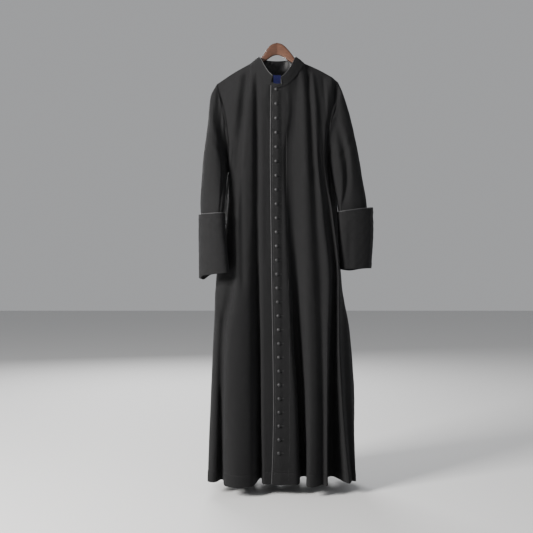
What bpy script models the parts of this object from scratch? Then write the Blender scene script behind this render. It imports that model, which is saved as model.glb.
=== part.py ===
"""Black clerical cassock hanging on a flat wooden hanger.

Metres, +Z up, the wearer faces -Y, so the wearer's right side is at -X.
The origin is the top of the hanger's crown.  The body of the garment is one ring of fold
lines, from the hidden front lap round the right side, the back and the left side to the
front edge.  Each panel is a run of those lines, each a closed shell with its own walls.
"""
import math

import bpy
import numpy as np
from mathutils import Matrix, Vector

MM = 0.001

# ---------------------------------------------------------------- sizes, in millimetres
CLOTH = 1.5            # wool wall
SEAM = 0.2             # each panel stops this short of its seam line
COLLAR_WALL = 2.2
LINING_WALL = 1.0
CUFF_WALL = 2.4
PIPING_RADIUS = 1.0
LAP_GAP = 4.0          # the closed front: the lower layer lies this far behind the upper

NECK_X = 2.0           # the neck ring stands a little off the hanger's middle
NECK = dict(half=95.0, front=68.0, back=52.0, z=-74.0, drop_front=100.0, drop_back=21.0)
COLLAR_TOP = dict(half=66.0, front=68.0, back=48.0, z=-51.0, drop_front=89.0, drop_back=3.0)
COLLAR_SPLIT = -15.5   # degrees from the centre front, + to the wearer's left
NOTCH_END = 9.0
NOTCH_HEIGHT = 0.36    # of the collar's height, left below the square notch

BUTTONS = 27
BUTTON_FIRST, BUTTON_PITCH, BUTTON_EASE = -181.0, -51.2, 0.092
BUTTON_PROFILE = ((5.2, 0.0), (6.0, 1.4), (4.7, 3.6), (2.3, 4.8))   # radius, height
BUTTON_HEIGHT = 5.1

HEM_Z, HEM_DROP = -1545.0, 0.12      # a fold that stands forward hangs a little lower
UNDERARM_Z = -500.0                  # rows are even above and below this level
ROWS_ABOVE, ROWS_BELOW = 5, 9

# ---------------------------------------------------------------- the folds, in millimetres
X_HEIGHTS = (-240.0, -420.0, -620.0, -853.0, -1050.0, -1285.0)   # and the hem
Y_HEIGHTS = (-240.0, -420.0, -620.0, -853.0)                     # and the hem

# One row per fold line: name, where its top lies (neck angle, shoulder x or armhole share),
# x at chest, underarm, waist, hip, thigh, shin and hem; y at chest, underarm, waist, hip and hem.
FRONT_RIGHT = (
    ("c_mid", "neck", -22, (-40, -40, -39, -37, -35, -32, -34), (-66, -68, -71, -83, -114)),
    ("c_left", "neck", -35, (-57, -57, -57, -57, -54, -52, -49), (-64, -66, -70, -81, -112)),
    ("v1_in", "neck", -43, (-68, -69, -68, -64, -61, -58, -56), (-58, -57, -57, -58, -56)),
    ("v1_out", "neck", -49, (-74, -75, -74, -70, -67, -64, -62), (-57, -56, -56, -59, -60)),
    ("b_slope", "neck", -58, (-84, -86, -88, -84, -82, -79, -75), (-61, -63, -66, -74, -104)),
    ("b_right", "neck", -72, (-96, -99, -103, -99, -99, -95, -91), (-65, -69, -74, -86, -138)),
    ("b_mid", "shoulder", -97, (-103, -112, -121, -122, -140, -143, -139), (-67, -71, -77, -91, -150)),
    ("b_left", "shoulder", -104, (-110, -124, -138, -142, -172, -180, -180), (-66, -70, -76, -86, -128)),
    ("v0_in", "shoulder", -112, (-121, -142, -156, -157, -189, -191, -191), (-59, -56, -53, -55, -74)),
    ("v0_out", "shoulder", -124, (-129, -149, -163, -166, -198, -200, -199), (-57, -52, -48, -51, -72)),
    ("a_in", "shoulder", -146, (-145, -157, -171, -184, -210, -213, -212), (-57, -47, -42, -48, -92)),
    ("a_crest", "shoulder", -174, (-162, -163, -176, -200, -220, -225, -226), (-54, -46, -32, -38, -98)),
    ("ah_1", "armhole", 0.00, (-184, -166, -178, -212, -226, -235, -242), (-44, -37, -24, -20, -88)),
    ("ah_2", "armhole", 0.25, (-190, -168, -179, -217, -227, -236, -242), (-40, -34, -14, -6, -62)),
    ("ah_3", "armhole", 0.50, (-190, -170, -179, -219, -226, -236, -238), (-40, -31, -4, 6, -38)),
    ("ah_4", "armhole", 0.75, (-190, -171, -179, -219, -225, -234, -232), (-36, -26, 6, 16, -18)),
)
SIDE_RIGHT = (
    ("s_front", "armhole", 0.875, (-190, -171, -182, -218, -224, -233, -229), (-20, -18, 13, 22, -2)),
    ("s_mid", "armhole", 1.00, (-190, -170, -185, -217, -224, -232, -227), (0, 2, 24, 30, 14)),
    ("s_back", "armhole", -0.875, (-190, -171, -188, -216, -225, -234, -230), (20, 20, 34, 38, 34)),
    ("s_pleat", "armhole", -0.75, (-190, -172, -191, -214, -226, -236, -238), (36, 34, 43, 48, 62)),
)
BACK_RIGHT = (
    ("bh_3", "armhole", -0.50, (-190, -177, -196, -209, -221, -231, -236), (42, 47, 52, 64, 92)),
    ("bh_2", "armhole", -0.25, (-190, -176, -191, -201, -212, -221, -225), (42, 52, 60, 77, 116)),
    ("bh_1", "armhole", -0.001, (-184, -168, -178, -188, -199, -207, -209), (42, 53, 63, 82, 128)),
    ("k1", "shoulder", -174, (-160, -150, -157, -162, -172, -180, -184), (46, 51, 58, 80, 126)),
    ("g1_out", "shoulder", -158, (-146, -140, -146, -150, -157, -165, -169), (45, 48, 52, 56, 58)),
    ("g1_in", "shoulder", -146, (-136, -132, -137, -141, -147, -154, -158), (45, 48, 51, 54, 52)),
    ("k2_out", "shoulder", -128, (-124, -122, -127, -131, -136, -141, -146), (50, 54, 60, 84, 132)),
    ("k2_in", "shoulder", -108, (-98, -98, -98, -100, -98, -96, -96), (52, 56, 62, 84, 130)),
    ("g2_out", "neck", -108, (-80, -81, -81, -83, -81, -79, -79), (49, 50, 51, 56, 54)),
    ("g2_in", "neck", -122, (-71, -71, -71, -73, -71, -68, -68), (48, 49, 50, 54, 50)),
    ("k3_out", "neck", -138, (-52, -54, -56, -58, -58, -58, -58), (52, 55, 60, 80, 122)),
    ("k3_in", "neck", -162, (-24, -24, -24, -22, -20, -18, -18), (54, 57, 62, 82, 124)),
)
CENTRE_BACK = ("centre_back", "neck", 180, (1, 1, 1, 2, 3, 3, 2), (51, 53, 55, 62, 70))
FRONT_LEFT = (
    ("f_edge", "neck", -14, (-22, -23, -21, -18, -15, -12, -19), (-69, -71, -74, -86, -118)),
    ("f_mid", "neck", -3.5, (-4, -4, -3, -1, 5, 6, 3), (-71, -73, -76, -89, -122)),
    ("f_stand", "neck", 7, (14, 12, 14, 19, 28, 35, 38), (-69, -71, -74, -87, -121)),
    ("c_right", "neck", 20, (41, 20, 27, 39, 48, 63, 71), (-66, -68, -72, -84, -116)),
    ("v2_in", "neck", 27, (53, 32, 42, 51, 59, 74, 84), (-61, -61, -60, -58, -44)),
    ("v2_out", "neck", 37, (65, 50, 58, 66, 76, 89, 101), (-60, -59, -58, -55, -40)),
    ("d_left", "neck", 58, (87, 89, 96, 100, 107, 111, 106), (-66, -70, -75, -88, -142)),
    ("d_crest", "neck", 74, (101, 106, 113, 122, 131, 134, 131), (-66, -70, -74, -87, -141)),
    ("d_trough", "shoulder", 99, (117, 124, 137, 152, 156, 158, 156), (-61, -62, -64, -74, -118)),
    ("d_right", "shoulder", 126, (131, 140, 158, 180, 175, 172, 170), (-65, -69, -73, -84, -132)),
    ("v3_in", "shoulder", 150, (146, 149, 175, 196, 189, 182, 180), (-58, -57, -56, -54, -46)),
    ("v3_out", "shoulder", 166, (160, 160, 187, 206, 203, 197, 197), (-56, -53, -50, -48, -40)),
    ("e_crest", "shoulder", 184, (177, 167, 195, 216, 216, 226, 249), (-57, -52, -58, -70, -108)),
    ("e_dip", "shoulder", 198, (187, 171, 198, 225, 235, 243, 262), (-48, -44, -42, -44, -84)),
    ("lh_1", "armhole", 0.00, (198, 174, 198, 227, 252, 262, 273), (-42, -38, -30, -28, -88)),
    ("lh_2", "armhole", 0.25, (205, 176, 197, 226, 260, 272, 274), (-40, -34, -16, -12, -60)),
    ("lh_3", "armhole", 0.50, (205, 178, 198, 225, 262, 276, 270), (-40, -30, -4, 2, -35)),
    ("lh_4", "armhole", 0.75, (205, 180, 199, 224, 263, 278, 265), (-36, -24, 8, 12, -15)),
)
SIDE_LEFT = (
    ("t_front", "armhole", 0.875, (205, 181, 203, 225, 263, 278, 263), (-20, -16, 16, 18, -2)),
    ("t_mid", "armhole", 1.00, (205, 181, 209, 228, 264, 278, 262), (0, 4, 26, 28, 14)),
    ("t_back", "armhole", -0.875, (205, 181, 216, 232, 265, 279, 265), (20, 22, 38, 43, 36)),
    ("t_pleat", "armhole", -0.75, (205, 183, 221, 236, 265, 279, 272), (36, 37, 49, 60, 64)),
)
# The left back repeats the right back's folds, wider at each height and uneven in depth.
LEFT_SPREAD = (1.06, 1.08, 1.14, 1.13, 1.16, 1.17, 1.15)
LEFT_DEPTH = {"bh_3": 1.05, "bh_2": 1.0, "bh_1": 0.94, "k1": 1.06, "g1_out": 1.12, "g1_in": 1.2,
              "k2_out": 0.92, "k2_in": 0.95, "g2_out": 1.1, "g2_in": 1.0, "k3_out": 1.07,
              "k3_in": 0.97}

# One row per point down the armhole: share of the way, x, y at front, y at back, z.
ARMHOLE = {
    "right": ((0.0, -216, 0, 0, -149), (0.25, -202, -35, 31, -216), (0.5, -190, -45, 42, -285),
              (0.75, -177, -36, 35, -376), (0.875, -171, -20, 19, -417), (1.0, -168, 0, 0, -450)),
    "left": ((0.0, 218, 0, 0, -141), (0.25, 211, -35, 31, -223), (0.5, 193, -45, 42, -292),
             (0.75, 184, -36, 35, -369), (0.875, 181, -20, 19, -402), (1.0, 181, 0, 0, -432)),
}

# One row per sleeve ring: outer x, outer z, inner x, inner z, y at outer edge, y at inner edge,
# depth forward, depth back, where the ridge and the groove lie from outer to inner, groove depth.
SLEEVE_RIGHT = (
    (-228, -170, -175, -461, -3, -5, 42, 38, 0.50, 0.70, 0),
    (-237, -190, -178, -473, -6, -12, 45, 38, 0.54, 0.72, 1),
    (-243, -229, -179, -487, -12, -25, 47, 38, 0.60, 0.76, 3),
    (-247, -280, -180, -504, -17, -38, 48, 37, 0.65, 0.82, 5),
    (-254, -345, -180, -523, -22, -50, 47, 35, 0.69, 0.86, 6),
    (-263, -410, -182, -545, -26, -61, 46, 33, 0.72, 0.88, 6),
    (-268, -489, -184, -571, -30, -71, 44, 31, 0.74, 0.86, 4),
    (-273, -575, -187, -603, -34, -79, 40, 28, 0.75, 0.86, 2),
    (-271, -628, -191, -628, -36, -82, 37, 25, 0.75, 0.86, 1),
)
SLEEVE_LEFT = (
    (230, -167, 187, -447, 0, -2, 42, 38, 0.22, 0.50, 2),
    (243, -202, 191, -461, 0, -4, 46, 40, 0.20, 0.48, 6),
    (257, -248, 195, -479, 0, -6, 49, 42, 0.18, 0.46, 10),
    (270, -299, 199, -498, 0, -10, 50, 42, 0.16, 0.46, 13),
    (283, -356, 204, -520, 0, -13, 50, 42, 0.16, 0.48, 14),
    (295, -421, 208, -542, 0, -16, 49, 42, 0.17, 0.56, 13),
    (308, -497, 213, -563, 0, -18, 46, 40, 0.20, 0.70, 10),
    (320, -565, 216, -588, 0, -20, 42, 37, 0.24, 0.84, 5),
    (326, -618, 221, -622, 0, -20, 37, 34, 0.26, 0.90, 2),
)
# The cuff's own rings, top to bottom, in the same columns.
CUFF_RIGHT = (
    (-278, -622, -184, -619, -35, -84, 43, 31, 0.58, 0.84, 0),
    (-278, -693, -181, -686, -35, -88, 41, 29, 0.56, 0.84, 0),
    (-278, -766, -175, -757, -36, -91, 38, 27, 0.55, 0.84, 0),
    (-277, -838, -169, -825, -38, -94, 35, 25, 0.55, 0.84, 0),
)
CUFF_LEFT = (
    (345, -594, 215, -612, 0, -20, 46, 42, 0.42, 0.70, 0),
    (346, -666, 218, -676, 0, -20, 45, 41, 0.42, 0.70, 2),
    (343, -739, 222, -746, 0, -20, 43, 39, 0.44, 0.72, 3),
    (339, -811, 226, -813, 0, -20, 41, 37, 0.45, 0.72, 2),
)
SLEEVE_INSET = 6.0     # the sleeve runs on inside the cuff, this far from it

# One row per hanger station: x, top z, bottom z.
HANGER = (
    (-212, -163, -176), (-205, -155, -176), (-176, -136, -160), (-137, -112, -138),
    (-92, -89, -112), (-64, -60, -83), (-51, -45, -70), (-36, -22, -61), (-25, -9.5, -53),
    (-12, -2, -46), (1, 0, -43.5), (13, -2, -46), (26, -9.5, -53), (38.5, -22, -62),
    (57, -45, -73), (67, -59, -82), (97, -89, -113), (148, -112, -140), (188, -132, -158),
    (203, -145, -170), (211, -156, -172),
)
HANGER_HALF = 6.0      # half its thickness
HANGER_CHAMFER = 3.5
HOOK_HOLE_RADIUS, HOOK_HOLE_DEPTH = 2.0, 22.0

LABEL_X, LABEL_WIDTH, LABEL_TOP, LABEL_HEIGHT, LABEL_WALL = 1.0, 27.0, -105.0, 40.0, 1.0

MATERIALS = {
    "wool_black": ((0.018, 0.018, 0.020), 0.85), "wool_cuff": ((0.016, 0.016, 0.018), 0.85),
    "satin_black": ((0.012, 0.012, 0.014), 0.35), "piping_grey": ((0.09, 0.09, 0.09), 0.5),
    "button_black": ((0.014, 0.014, 0.015), 0.7), "label_blue": ((0.02, 0.03, 0.16), 0.6),
    "wood_brown": ((0.20, 0.075, 0.035), 0.45),
}


# ---------------------------------------------------------------- curves
def pchip(knots, values, at):
    """Monotone cubic through values at falling knots."""
    xs, ys = -np.asarray(knots, float), np.asarray(values, float)
    h, d = np.diff(xs), np.diff(ys) / np.diff(xs)
    m = np.zeros(len(xs))
    if len(xs) == 2:
        m[:] = d[0]
    else:
        for i in range(1, len(xs) - 1):
            if d[i - 1] * d[i] > 0:
                w1, w2 = 2 * h[i] + h[i - 1], h[i] + 2 * h[i - 1]
                m[i] = (w1 + w2) / (w1 / d[i - 1] + w2 / d[i])
        for end, first, second in ((0, 0, 1), (-1, -1, -2)):
            slope = ((2 * h[first] + h[second]) * d[first] - h[first] * d[second]) \
                / (h[first] + h[second])
            m[end] = 0.0 if slope * d[first] <= 0 else math.copysign(
                min(abs(slope), 3 * abs(d[first])), slope)
    x = np.clip(-np.asarray(at, float), xs[0], xs[-1])
    i = np.clip(np.searchsorted(xs, x, side="right") - 1, 0, len(h) - 1)
    t = (x - xs[i]) / h[i]
    return (ys[i] * (1 + 2 * t) * (1 - t) ** 2 + m[i] * h[i] * t * (1 - t) ** 2
            + ys[i + 1] * t * t * (3 - 2 * t) + m[i + 1] * h[i] * t * t * (t - 1))


def ring_point(ring, degrees):
    """A point of the neck seam or of the collar's top edge."""
    a = math.radians(degrees)
    front = math.cos(a) > 0
    depth, drop = (ring["front"], ring["drop_front"]) if front else (ring["back"], ring["drop_back"])
    return np.array((NECK_X + ring["half"] * math.sin(a), -depth * math.cos(a),
                     ring["z"] - drop * math.cos(a) ** 2))


def shoulder_z(x):
    """Height of the shoulder seam, which falls from the neck to the sleeve head."""
    if x < 0:
        out = -x - 93.0
        return -74.0 - 0.50 * out - 0.0009 * out ** 2
    out = x - 97.0
    return -74.0 - 0.42 * out - 8e-6 * out ** 3


def armhole_point(side, share):
    """A point of the armhole; negative shares run down the back of it."""
    rows = ARMHOLE[side]
    at = abs(share)
    shares = [row[0] for row in rows]
    pick = 2 if share >= 0 else 3
    return np.array([np.interp(at, shares, [row[k] for row in rows]) for k in (1, pick, 4)])


def fold_top(kind, value, side):
    if kind == "neck":
        return ring_point(NECK, value)
    if kind == "armhole":
        return armhole_point(side, value)
    return np.array((value, 0.0, shoulder_z(value)))


def fold_line(row, side, rows_above=ROWS_ABOVE, rows_below=ROWS_BELOW, back=False):
    """All points of one fold line, from its seam at the top down to the hem."""
    _, kind, value, xs, ys = row
    top = fold_top(kind, value, side)
    hem = HEM_Z - HEM_DROP * abs(ys[-1])
    heights = np.concatenate((np.linspace(top[2], UNDERARM_Z, rows_above + 1),
                              np.linspace(UNDERARM_Z, hem, rows_below + 1)[1:]))
    def through(levels, values, start):
        kept = [(z, v) for z, v in zip(levels, values) if z < top[2] - 25.0]
        return pchip([top[2]] + [z for z, _ in kept] + [hem],
                     [start] + [v for _, v in kept] + [values[-1]], heights)
    line = np.stack((through(X_HEIGHTS, xs, top[0]), through(Y_HEIGHTS, ys, top[1]), heights), 1)
    if kind == "armhole" and abs(value) <= 0.5:
        follow_armhole(line, side, value)
    return line


def follow_armhole(line, side, share):
    """Keep a line that starts on the armhole beside it, and let it go towards the underarm."""
    rows = ARMHOLE[side]
    down = [-row[4] for row in rows]
    bottom, top = rows[-1][4], line[0, 2]
    gap = 2.0 + 12.0 * (1 - abs(share)) ** 1.5
    for point in line:
        z = point[2]
        if bottom < z < top:
            go = (top - z) / (top - bottom)
            go = go * go * (3 - 2 * go)
            beside = gap * min(1.0, (top - z) / 40.0)
            x = np.interp(-z, down, [row[1] for row in rows])
            y = np.interp(-z, down, [row[2 if share >= 0 else 3] for row in rows])
            x -= math.copysign(beside, x)
            point[0] += (x - point[0]) * (1 - go)
            point[1] += (y - point[1]) * (1 - go)


def left_back_rows():
    """The left back's folds, from the centre back round to the left armhole."""
    rows = []
    for name, kind, value, xs, ys in reversed(BACK_RIGHT):
        wide = tuple(-x * k for x, k in zip(xs, LEFT_SPREAD))
        deep = tuple(y * (1 + (LEFT_DEPTH[name] - 1) * k) for y, k in zip(ys, (0.1, 0.2, 0.4, 0.7, 1)))
        rows.append((name, kind, value if kind == "armhole" else -value, wide, deep))
    return rows


def body_grid():
    """The whole ring of fold lines, and the first and last line of each panel."""
    left = [fold_line(row, "left") for row in FRONT_LEFT]
    behind = np.array((0.0, LAP_GAP, 0.0))
    lap = [line + behind for line in (left[2], left[1], left[0])]
    right = [fold_line(row, "right") for row in FRONT_RIGHT]
    side_r = [fold_line(row, "right") for row in SIDE_RIGHT]
    back_r = [fold_line(row, "right") for row in BACK_RIGHT]
    centre = [fold_line(CENTRE_BACK, "right")]
    back_l = [fold_line(row, "left") for row in left_back_rows()]
    side_l = [fold_line(row, "left") for row in reversed(SIDE_LEFT)]
    lines = lap + right + side_r + back_r + centre + back_l + side_l + left[::-1]
    first = {"front_right": 0}
    first["side_right"] = len(lap) + len(right) - 1
    first["back_right"] = first["side_right"] + len(side_r)
    first["back_left"] = first["back_right"] + len(back_r) + 1
    first["side_left"] = first["back_left"] + len(back_l) + 1
    first["front_left"] = first["side_left"] + len(side_l)
    names = list(first)
    spans = {name: (first[name], (list(first.values()) + [len(lines) - 1])[i + 1])
             for i, name in enumerate(names)}
    return np.array(lines), spans


# ---------------------------------------------------------------- surfaces
def grid_normals(grid, closed=False):
    """Outward normals of a grid of points, lengthened at creases so the wall keeps its width."""
    n, m = grid.shape[:2]
    faces = {}
    for i in range(n if closed else n - 1):
        for j in range(m - 1):
            a, b = grid[i, j], grid[(i + 1) % n, j]
            c, d = grid[(i + 1) % n, j + 1], grid[i, j + 1]
            v = np.cross(c - a, d - b)
            faces[i, j] = v / max(np.linalg.norm(v), 1e-9)
    out = np.zeros_like(grid)
    for i in range(n):
        for j in range(m):
            around = [faces[k] for k in ((i, j), ((i - 1) % n if closed else i - 1, j), (i, j - 1),
                                         ((i - 1) % n if closed else i - 1, j - 1)) if k in faces]
            mean = np.sum(around, axis=0)
            mean /= max(np.linalg.norm(mean), 1e-9)
            out[i, j] = mean / max(min(float(mean @ f) for f in around), 0.42)
    return out


def shell(name, grid, normals, wall, material, closed=False, lift=0.0):
    """A closed wall around a grid of points: outer skin, inner skin and rims."""
    n, m = grid.shape[:2]
    outer = grid + normals * (lift + wall / 2)
    inner = grid + normals * (lift - wall / 2)
    verts = np.concatenate((outer.reshape(-1, 3), inner.reshape(-1, 3)))
    back = n * m
    def at(i, j, skin):
        return (i % n) * m + j + skin * back
    faces = []
    for i in range(n if closed else n - 1):
        for j in range(m - 1):
            quad = (at(i, j, 0), at(i + 1, j, 0), at(i + 1, j + 1, 0), at(i, j + 1, 0))
            faces += [quad, tuple(v + back for v in reversed(quad))]
        for j, step in ((0, 1), (m - 1, -1)):
            rim = (at(i, j, 0), at(i, j, 1), at(i + 1, j, 1), at(i + 1, j, 0))
            faces.append(rim if step == 1 else rim[::-1])
    if not closed:
        for j in range(m - 1):
            faces.append((at(0, j, 0), at(0, j + 1, 0), at(0, j + 1, 1), at(0, j, 1)))
            faces.append((at(n - 1, j, 0), at(n - 1, j, 1), at(n - 1, j + 1, 1), at(n - 1, j + 1, 0)))
    return add_object(name, verts, faces, material)


def add_object(name, verts, faces, material):
    mesh = bpy.data.meshes.new(name)
    mesh.from_pydata([tuple(float(c) * MM for c in v) for v in verts], [], faces)
    mesh.validate()
    triangulate(mesh)
    mesh.materials.append(material)
    obj = bpy.data.objects.new(name, mesh)
    bpy.context.scene.collection.objects.link(obj)
    return obj


def triangulate(mesh):
    """Split every face into triangles and turn them all outward."""
    import bmesh
    bm = bmesh.new()
    bm.from_mesh(mesh)
    bmesh.ops.triangulate(bm, faces=bm.faces[:])
    bmesh.ops.recalc_face_normals(bm, faces=bm.faces[:])
    if bm.calc_volume(signed=True) < 0:
        bmesh.ops.reverse_faces(bm, faces=bm.faces[:])
    bm.to_mesh(mesh)
    bm.free()


def tube(name, path, radius, material, closed=False, sides=6, across=(0, -1, 0.05)):
    """A round cord along a path; across is never along it."""
    path = [Vector(p) for p in path]
    n = len(path)
    verts, faces = [], []
    for i, p in enumerate(path):
        before = path[(i - 1) % n] if closed or i else path[0]
        after = path[(i + 1) % n] if closed or i < n - 1 else path[-1]
        along = (after - before).normalized()
        side = along.cross(Vector(across)).normalized()
        up = side.cross(along).normalized()
        for k in range(sides):
            a = 2 * math.pi * k / sides
            verts.append(p + radius * (math.cos(a) * side + math.sin(a) * up))
    for i in range(n if closed else n - 1):
        for k in range(sides):
            a, b = i * sides, (i + 1) % n * sides
            faces.append((a + k, a + (k + 1) % sides, b + (k + 1) % sides, b + k))
    if not closed:
        faces += [tuple(range(sides)), tuple(range((n - 1) * sides, n * sides))]
    return add_object(name, verts, faces, material)


def make_materials():
    made = {}
    for name, (colour, rough) in MATERIALS.items():
        material = bpy.data.materials.new(name)
        material.use_nodes = True
        shader = material.node_tree.nodes["Principled BSDF"]
        shader.inputs["Base Color"].default_value = (*colour, 1.0)
        shader.inputs["Roughness"].default_value = rough
        material.diffuse_color = (*colour, 1.0)
        made[name] = material
    return made


# ---------------------------------------------------------------- the body panels
def build_body(mats):
    grid, spans = body_grid()
    normals = grid_normals(grid)
    for i, (start, _) in enumerate(zip(grid, normals)):
        if abs(start[0][1]) < 0.5 and start[0][2] > UNDERARM_Z + 200:
            x = start[0][0]
            rise = (shoulder_z(x + 1) - shoulder_z(x - 1)) / 2
            up = np.array((-rise, 0.0, 1.0)) / math.hypot(rise, 1.0)
            normals[i, 0] = up * 1.6
    for name, (a, b) in spans.items():
        piece = grid[a:b + 1].copy()
        edges = normals[a:b + 1]
        piece[:, 0] += SEAM * unit(piece[:, 1] - piece[:, 0])
        for border, inside in ((0, 1), (-1, -2)):
            piece[border] += SEAM * unit(piece[inside] - piece[border])
        shell(name, piece, edges, CLOTH, mats["wool_black"])
    return grid, normals, spans


def unit(v):
    return v / np.maximum(np.linalg.norm(v, axis=-1, keepdims=True), 1e-9)


# ---------------------------------------------------------------- sleeves and cuffs
def arc_depth(s):
    return (1 - abs(2 * s - 1) ** 2.4) ** (1 / 2.4)


def sleeve_ring(row):
    """One ring: nine points over the front from the outer edge to the inner, seven behind."""
    xo, zo, xi, zi, yo, yi, front, behind, ridge, groove, dent = row
    shares = [0, 0.25 * ridge, 0.65 * ridge, ridge, (ridge + groove) / 2, groove,
              groove + 0.45 * (1 - groove), groove + 0.85 * (1 - groove), 1]
    outer, inner = np.array((xo, yo, zo)), np.array((xi, yi, zi))
    points = []
    for k, s in enumerate(shares):
        deep = front * arc_depth(s) - (dent if k == 5 else 0)
        points.append(outer + (inner - outer) * s + np.array((0, -deep, 0)))
    for s in (0.96, 0.84, 0.68, 0.5, 0.32, 0.16, 0.04):
        points.append(outer + (inner - outer) * s + np.array((0, behind * arc_depth(s), 0)))
    return points


def armhole_ring(side):
    """The sleeve's first ring, just off the armhole, on the same straight runs as the body."""
    out = -1 if side == "right" else 1
    knots = (0, 0.25, 0.5, 0.75, 0.875, 1.0)
    def on_chords(share):
        sign = 1 if share >= 0 else -1
        k = min(np.searchsorted(knots, abs(share), side="right") - 1, len(knots) - 2)
        t = (abs(share) - knots[k]) / (knots[k + 1] - knots[k])
        a, b = (armhole_point(side, sign * knots[i] or 0.0) for i in (k, k + 1))
        return a + (b - a) * t
    points = []
    for share in (0, .125, .25, .375, .5, .625, .75, .875, 1, -.875, -.75, -.625, -.5, -.375,
                  -.25, -.125):
        off = 0.9 + 2.9 * abs(share) ** 2
        points.append(on_chords(share) + np.array((out * off, 0, -0.35 * off)))
    return points


def ring_inset(row, inset):
    xo, zo, xi, zi, yo, yi, front, behind, ridge, groove, dent = row
    out = 1 if xo > 0 else -1
    return (xo - out * inset, zo, xi + out * inset, zi, yo, yi, front - inset, behind - inset,
            ridge, groove, dent)


def build_sleeve(side, rows, cuff_rows, mats):
    hidden = [ring_inset(row, SLEEVE_INSET) for row in cuff_rows[1:]]
    last = hidden[-1]
    hidden[-1] = (last[0], last[1] + 2, last[2], last[3] + 2) + last[4:]
    rings = [armhole_ring(side)] + [sleeve_ring(row) for row in tuple(rows) + tuple(hidden)]
    grid = np.array(rings).transpose(1, 0, 2)
    if side == "left":
        grid = grid[::-1]
    shell("sleeve_" + side, grid, grid_normals(grid, True), CLOTH, mats["wool_black"], closed=True)
    cuff = np.array([sleeve_ring(row) for row in cuff_rows]).transpose(1, 0, 2)
    if side == "left":
        cuff = cuff[::-1]
    shell("cuff_" + side, cuff, grid_normals(cuff, True), CUFF_WALL, mats["wool_cuff"], closed=True)
    rim = cuff[:, 0] + np.array((0, 0, PIPING_RADIUS + 0.5))
    tube("cuff_piping_" + side, rim, PIPING_RADIUS, mats["piping_grey"], closed=True,
         across=(0, 0, 1))


# ---------------------------------------------------------------- the neck
def collar_angles():
    """Angles round the collar with the share of the height that stands there."""
    low = [(a, NOTCH_HEIGHT) for a in (COLLAR_SPLIT, -7.0, 1.0, NOTCH_END)]
    steps = [9.7, 20, 32, 46, 60, 75, 90, 108, 126, 144, 162, 180]
    full = steps + [a - 360 for a in (198, 216, 234, 252, 270, 285, 300, 314, 328)] \
        + [COLLAR_SPLIT - 6.0, COLLAR_SPLIT - 0.5]
    return low + [(a, 1.0) for a in full]


def collar_grid(start, stop, rows=4):
    lines = []
    for angle, share in collar_angles():
        base, top = ring_point(NECK, angle), ring_point(COLLAR_TOP, angle)
        reach = top - base
        foot = base + 1.0 * reach / np.linalg.norm(reach)
        span = base + share * reach - foot
        lines.append([foot + span * t for t in np.linspace(stop, start, rows)])
    return np.array(lines)[::-1]


def build_collar(mats):
    grid = collar_grid(0.0, 1.0)
    normals = grid_normals(grid)
    shell("collar", grid, normals, COLLAR_WALL, mats["wool_black"])
    inside = collar_grid(0.04, 0.93)
    inside[0] += 0.8 * unit(inside[1] - inside[0])
    inside[-1] += 0.8 * unit(inside[-2] - inside[-1])
    depth = -(COLLAR_WALL / 2 + 0.5 + LINING_WALL / 2)
    shell("collar_lining", inside, grid_normals(inside), LINING_WALL, mats["satin_black"],
          lift=depth)
    for side, picks in (("right", (328 - 360, 314 - 360, 300 - 360, 285 - 360)),
                        ("left", (9.7, 20, 32, 46, 60, 75))):
        angles = picks if side == "left" else (COLLAR_SPLIT - 0.5, COLLAR_SPLIT - 6.0) + picks
        path = []
        for angle in angles:
            base, top = ring_point(NECK, angle), ring_point(COLLAR_TOP, angle)
            path.append(top + (PIPING_RADIUS + 0.5) * (top - base) / np.linalg.norm(top - base))
        tube("collar_piping_" + side, path, PIPING_RADIUS, mats["piping_grey"])


def build_neck_lining(grid, normals, spans, mats):
    """Satin facing inside the back of the neck, with the maker's plain label on it."""
    centre = spans["back_right"][1]
    a, b = centre - 4, centre + 4
    rows = 4
    top, low = grid[a:b + 1, 0], grid[a:b + 1, 1]
    patch = np.array([[top[i] + (low[i] - top[i]) * t for t in np.linspace(0.02, 1.0, rows)]
                      for i in range(len(top))])
    facing = np.array([[normals[i, 0] * (1 - t) + normals[i, 1] * t for t in np.linspace(0, 1, rows)]
                       for i in range(a, b + 1)])
    depth = -(CLOTH / 2 + 0.5 + LINING_WALL / 2)
    shell("neck_lining", patch, facing, LINING_WALL, mats["satin_black"], lift=depth)
    mid = patch[4]
    side = patch[5] - patch[4]
    lines = []
    for x in (LABEL_X + LABEL_WIDTH / 2, LABEL_X - LABEL_WIDTH / 2):
        line = []
        for z in (LABEL_TOP, LABEL_TOP - LABEL_HEIGHT):
            y = np.interp(-z, -mid[:, 2], mid[:, 1])
            line.append((x, y - CLOTH / 2 - 0.5 - LINING_WALL - 1.4 - LABEL_WALL / 2, z))
        lines.append(line)
    label = np.array(lines)
    shell("label", label[::-1], grid_normals(label[::-1]), LABEL_WALL, mats["label_blue"])
    return side


# ---------------------------------------------------------------- closure
def build_closure(grid, normals, mats):
    """The piped front edge and the row of covered buttons on the upper front."""
    edge, inner = grid[-1], grid[-2]
    outward = unit(edge - inner)
    path = edge + outward * (PIPING_RADIUS + 0.5)
    path[0] += 0.3 * unit(path[1] - path[0])
    tube("front_piping", path, PIPING_RADIUS, mats["piping_grey"])
    line, facing = grid[-2], normals[-2]
    heights = line[:, 2]
    for k in range(BUTTONS):
        z = BUTTON_FIRST + BUTTON_PITCH * k + BUTTON_EASE * k * k
        i = int(np.clip(np.searchsorted(-heights, -z) - 1, 0, len(heights) - 2))
        t = (z - heights[i]) / (heights[i + 1] - heights[i])
        centre = line[i] + (line[i + 1] - line[i]) * t
        out = unit(facing[i] + (facing[i + 1] - facing[i]) * t)
        covered_button("button_%02d" % (k + 1), centre + out * (CLOTH / 2 + 0.5), out, mats)


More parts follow.
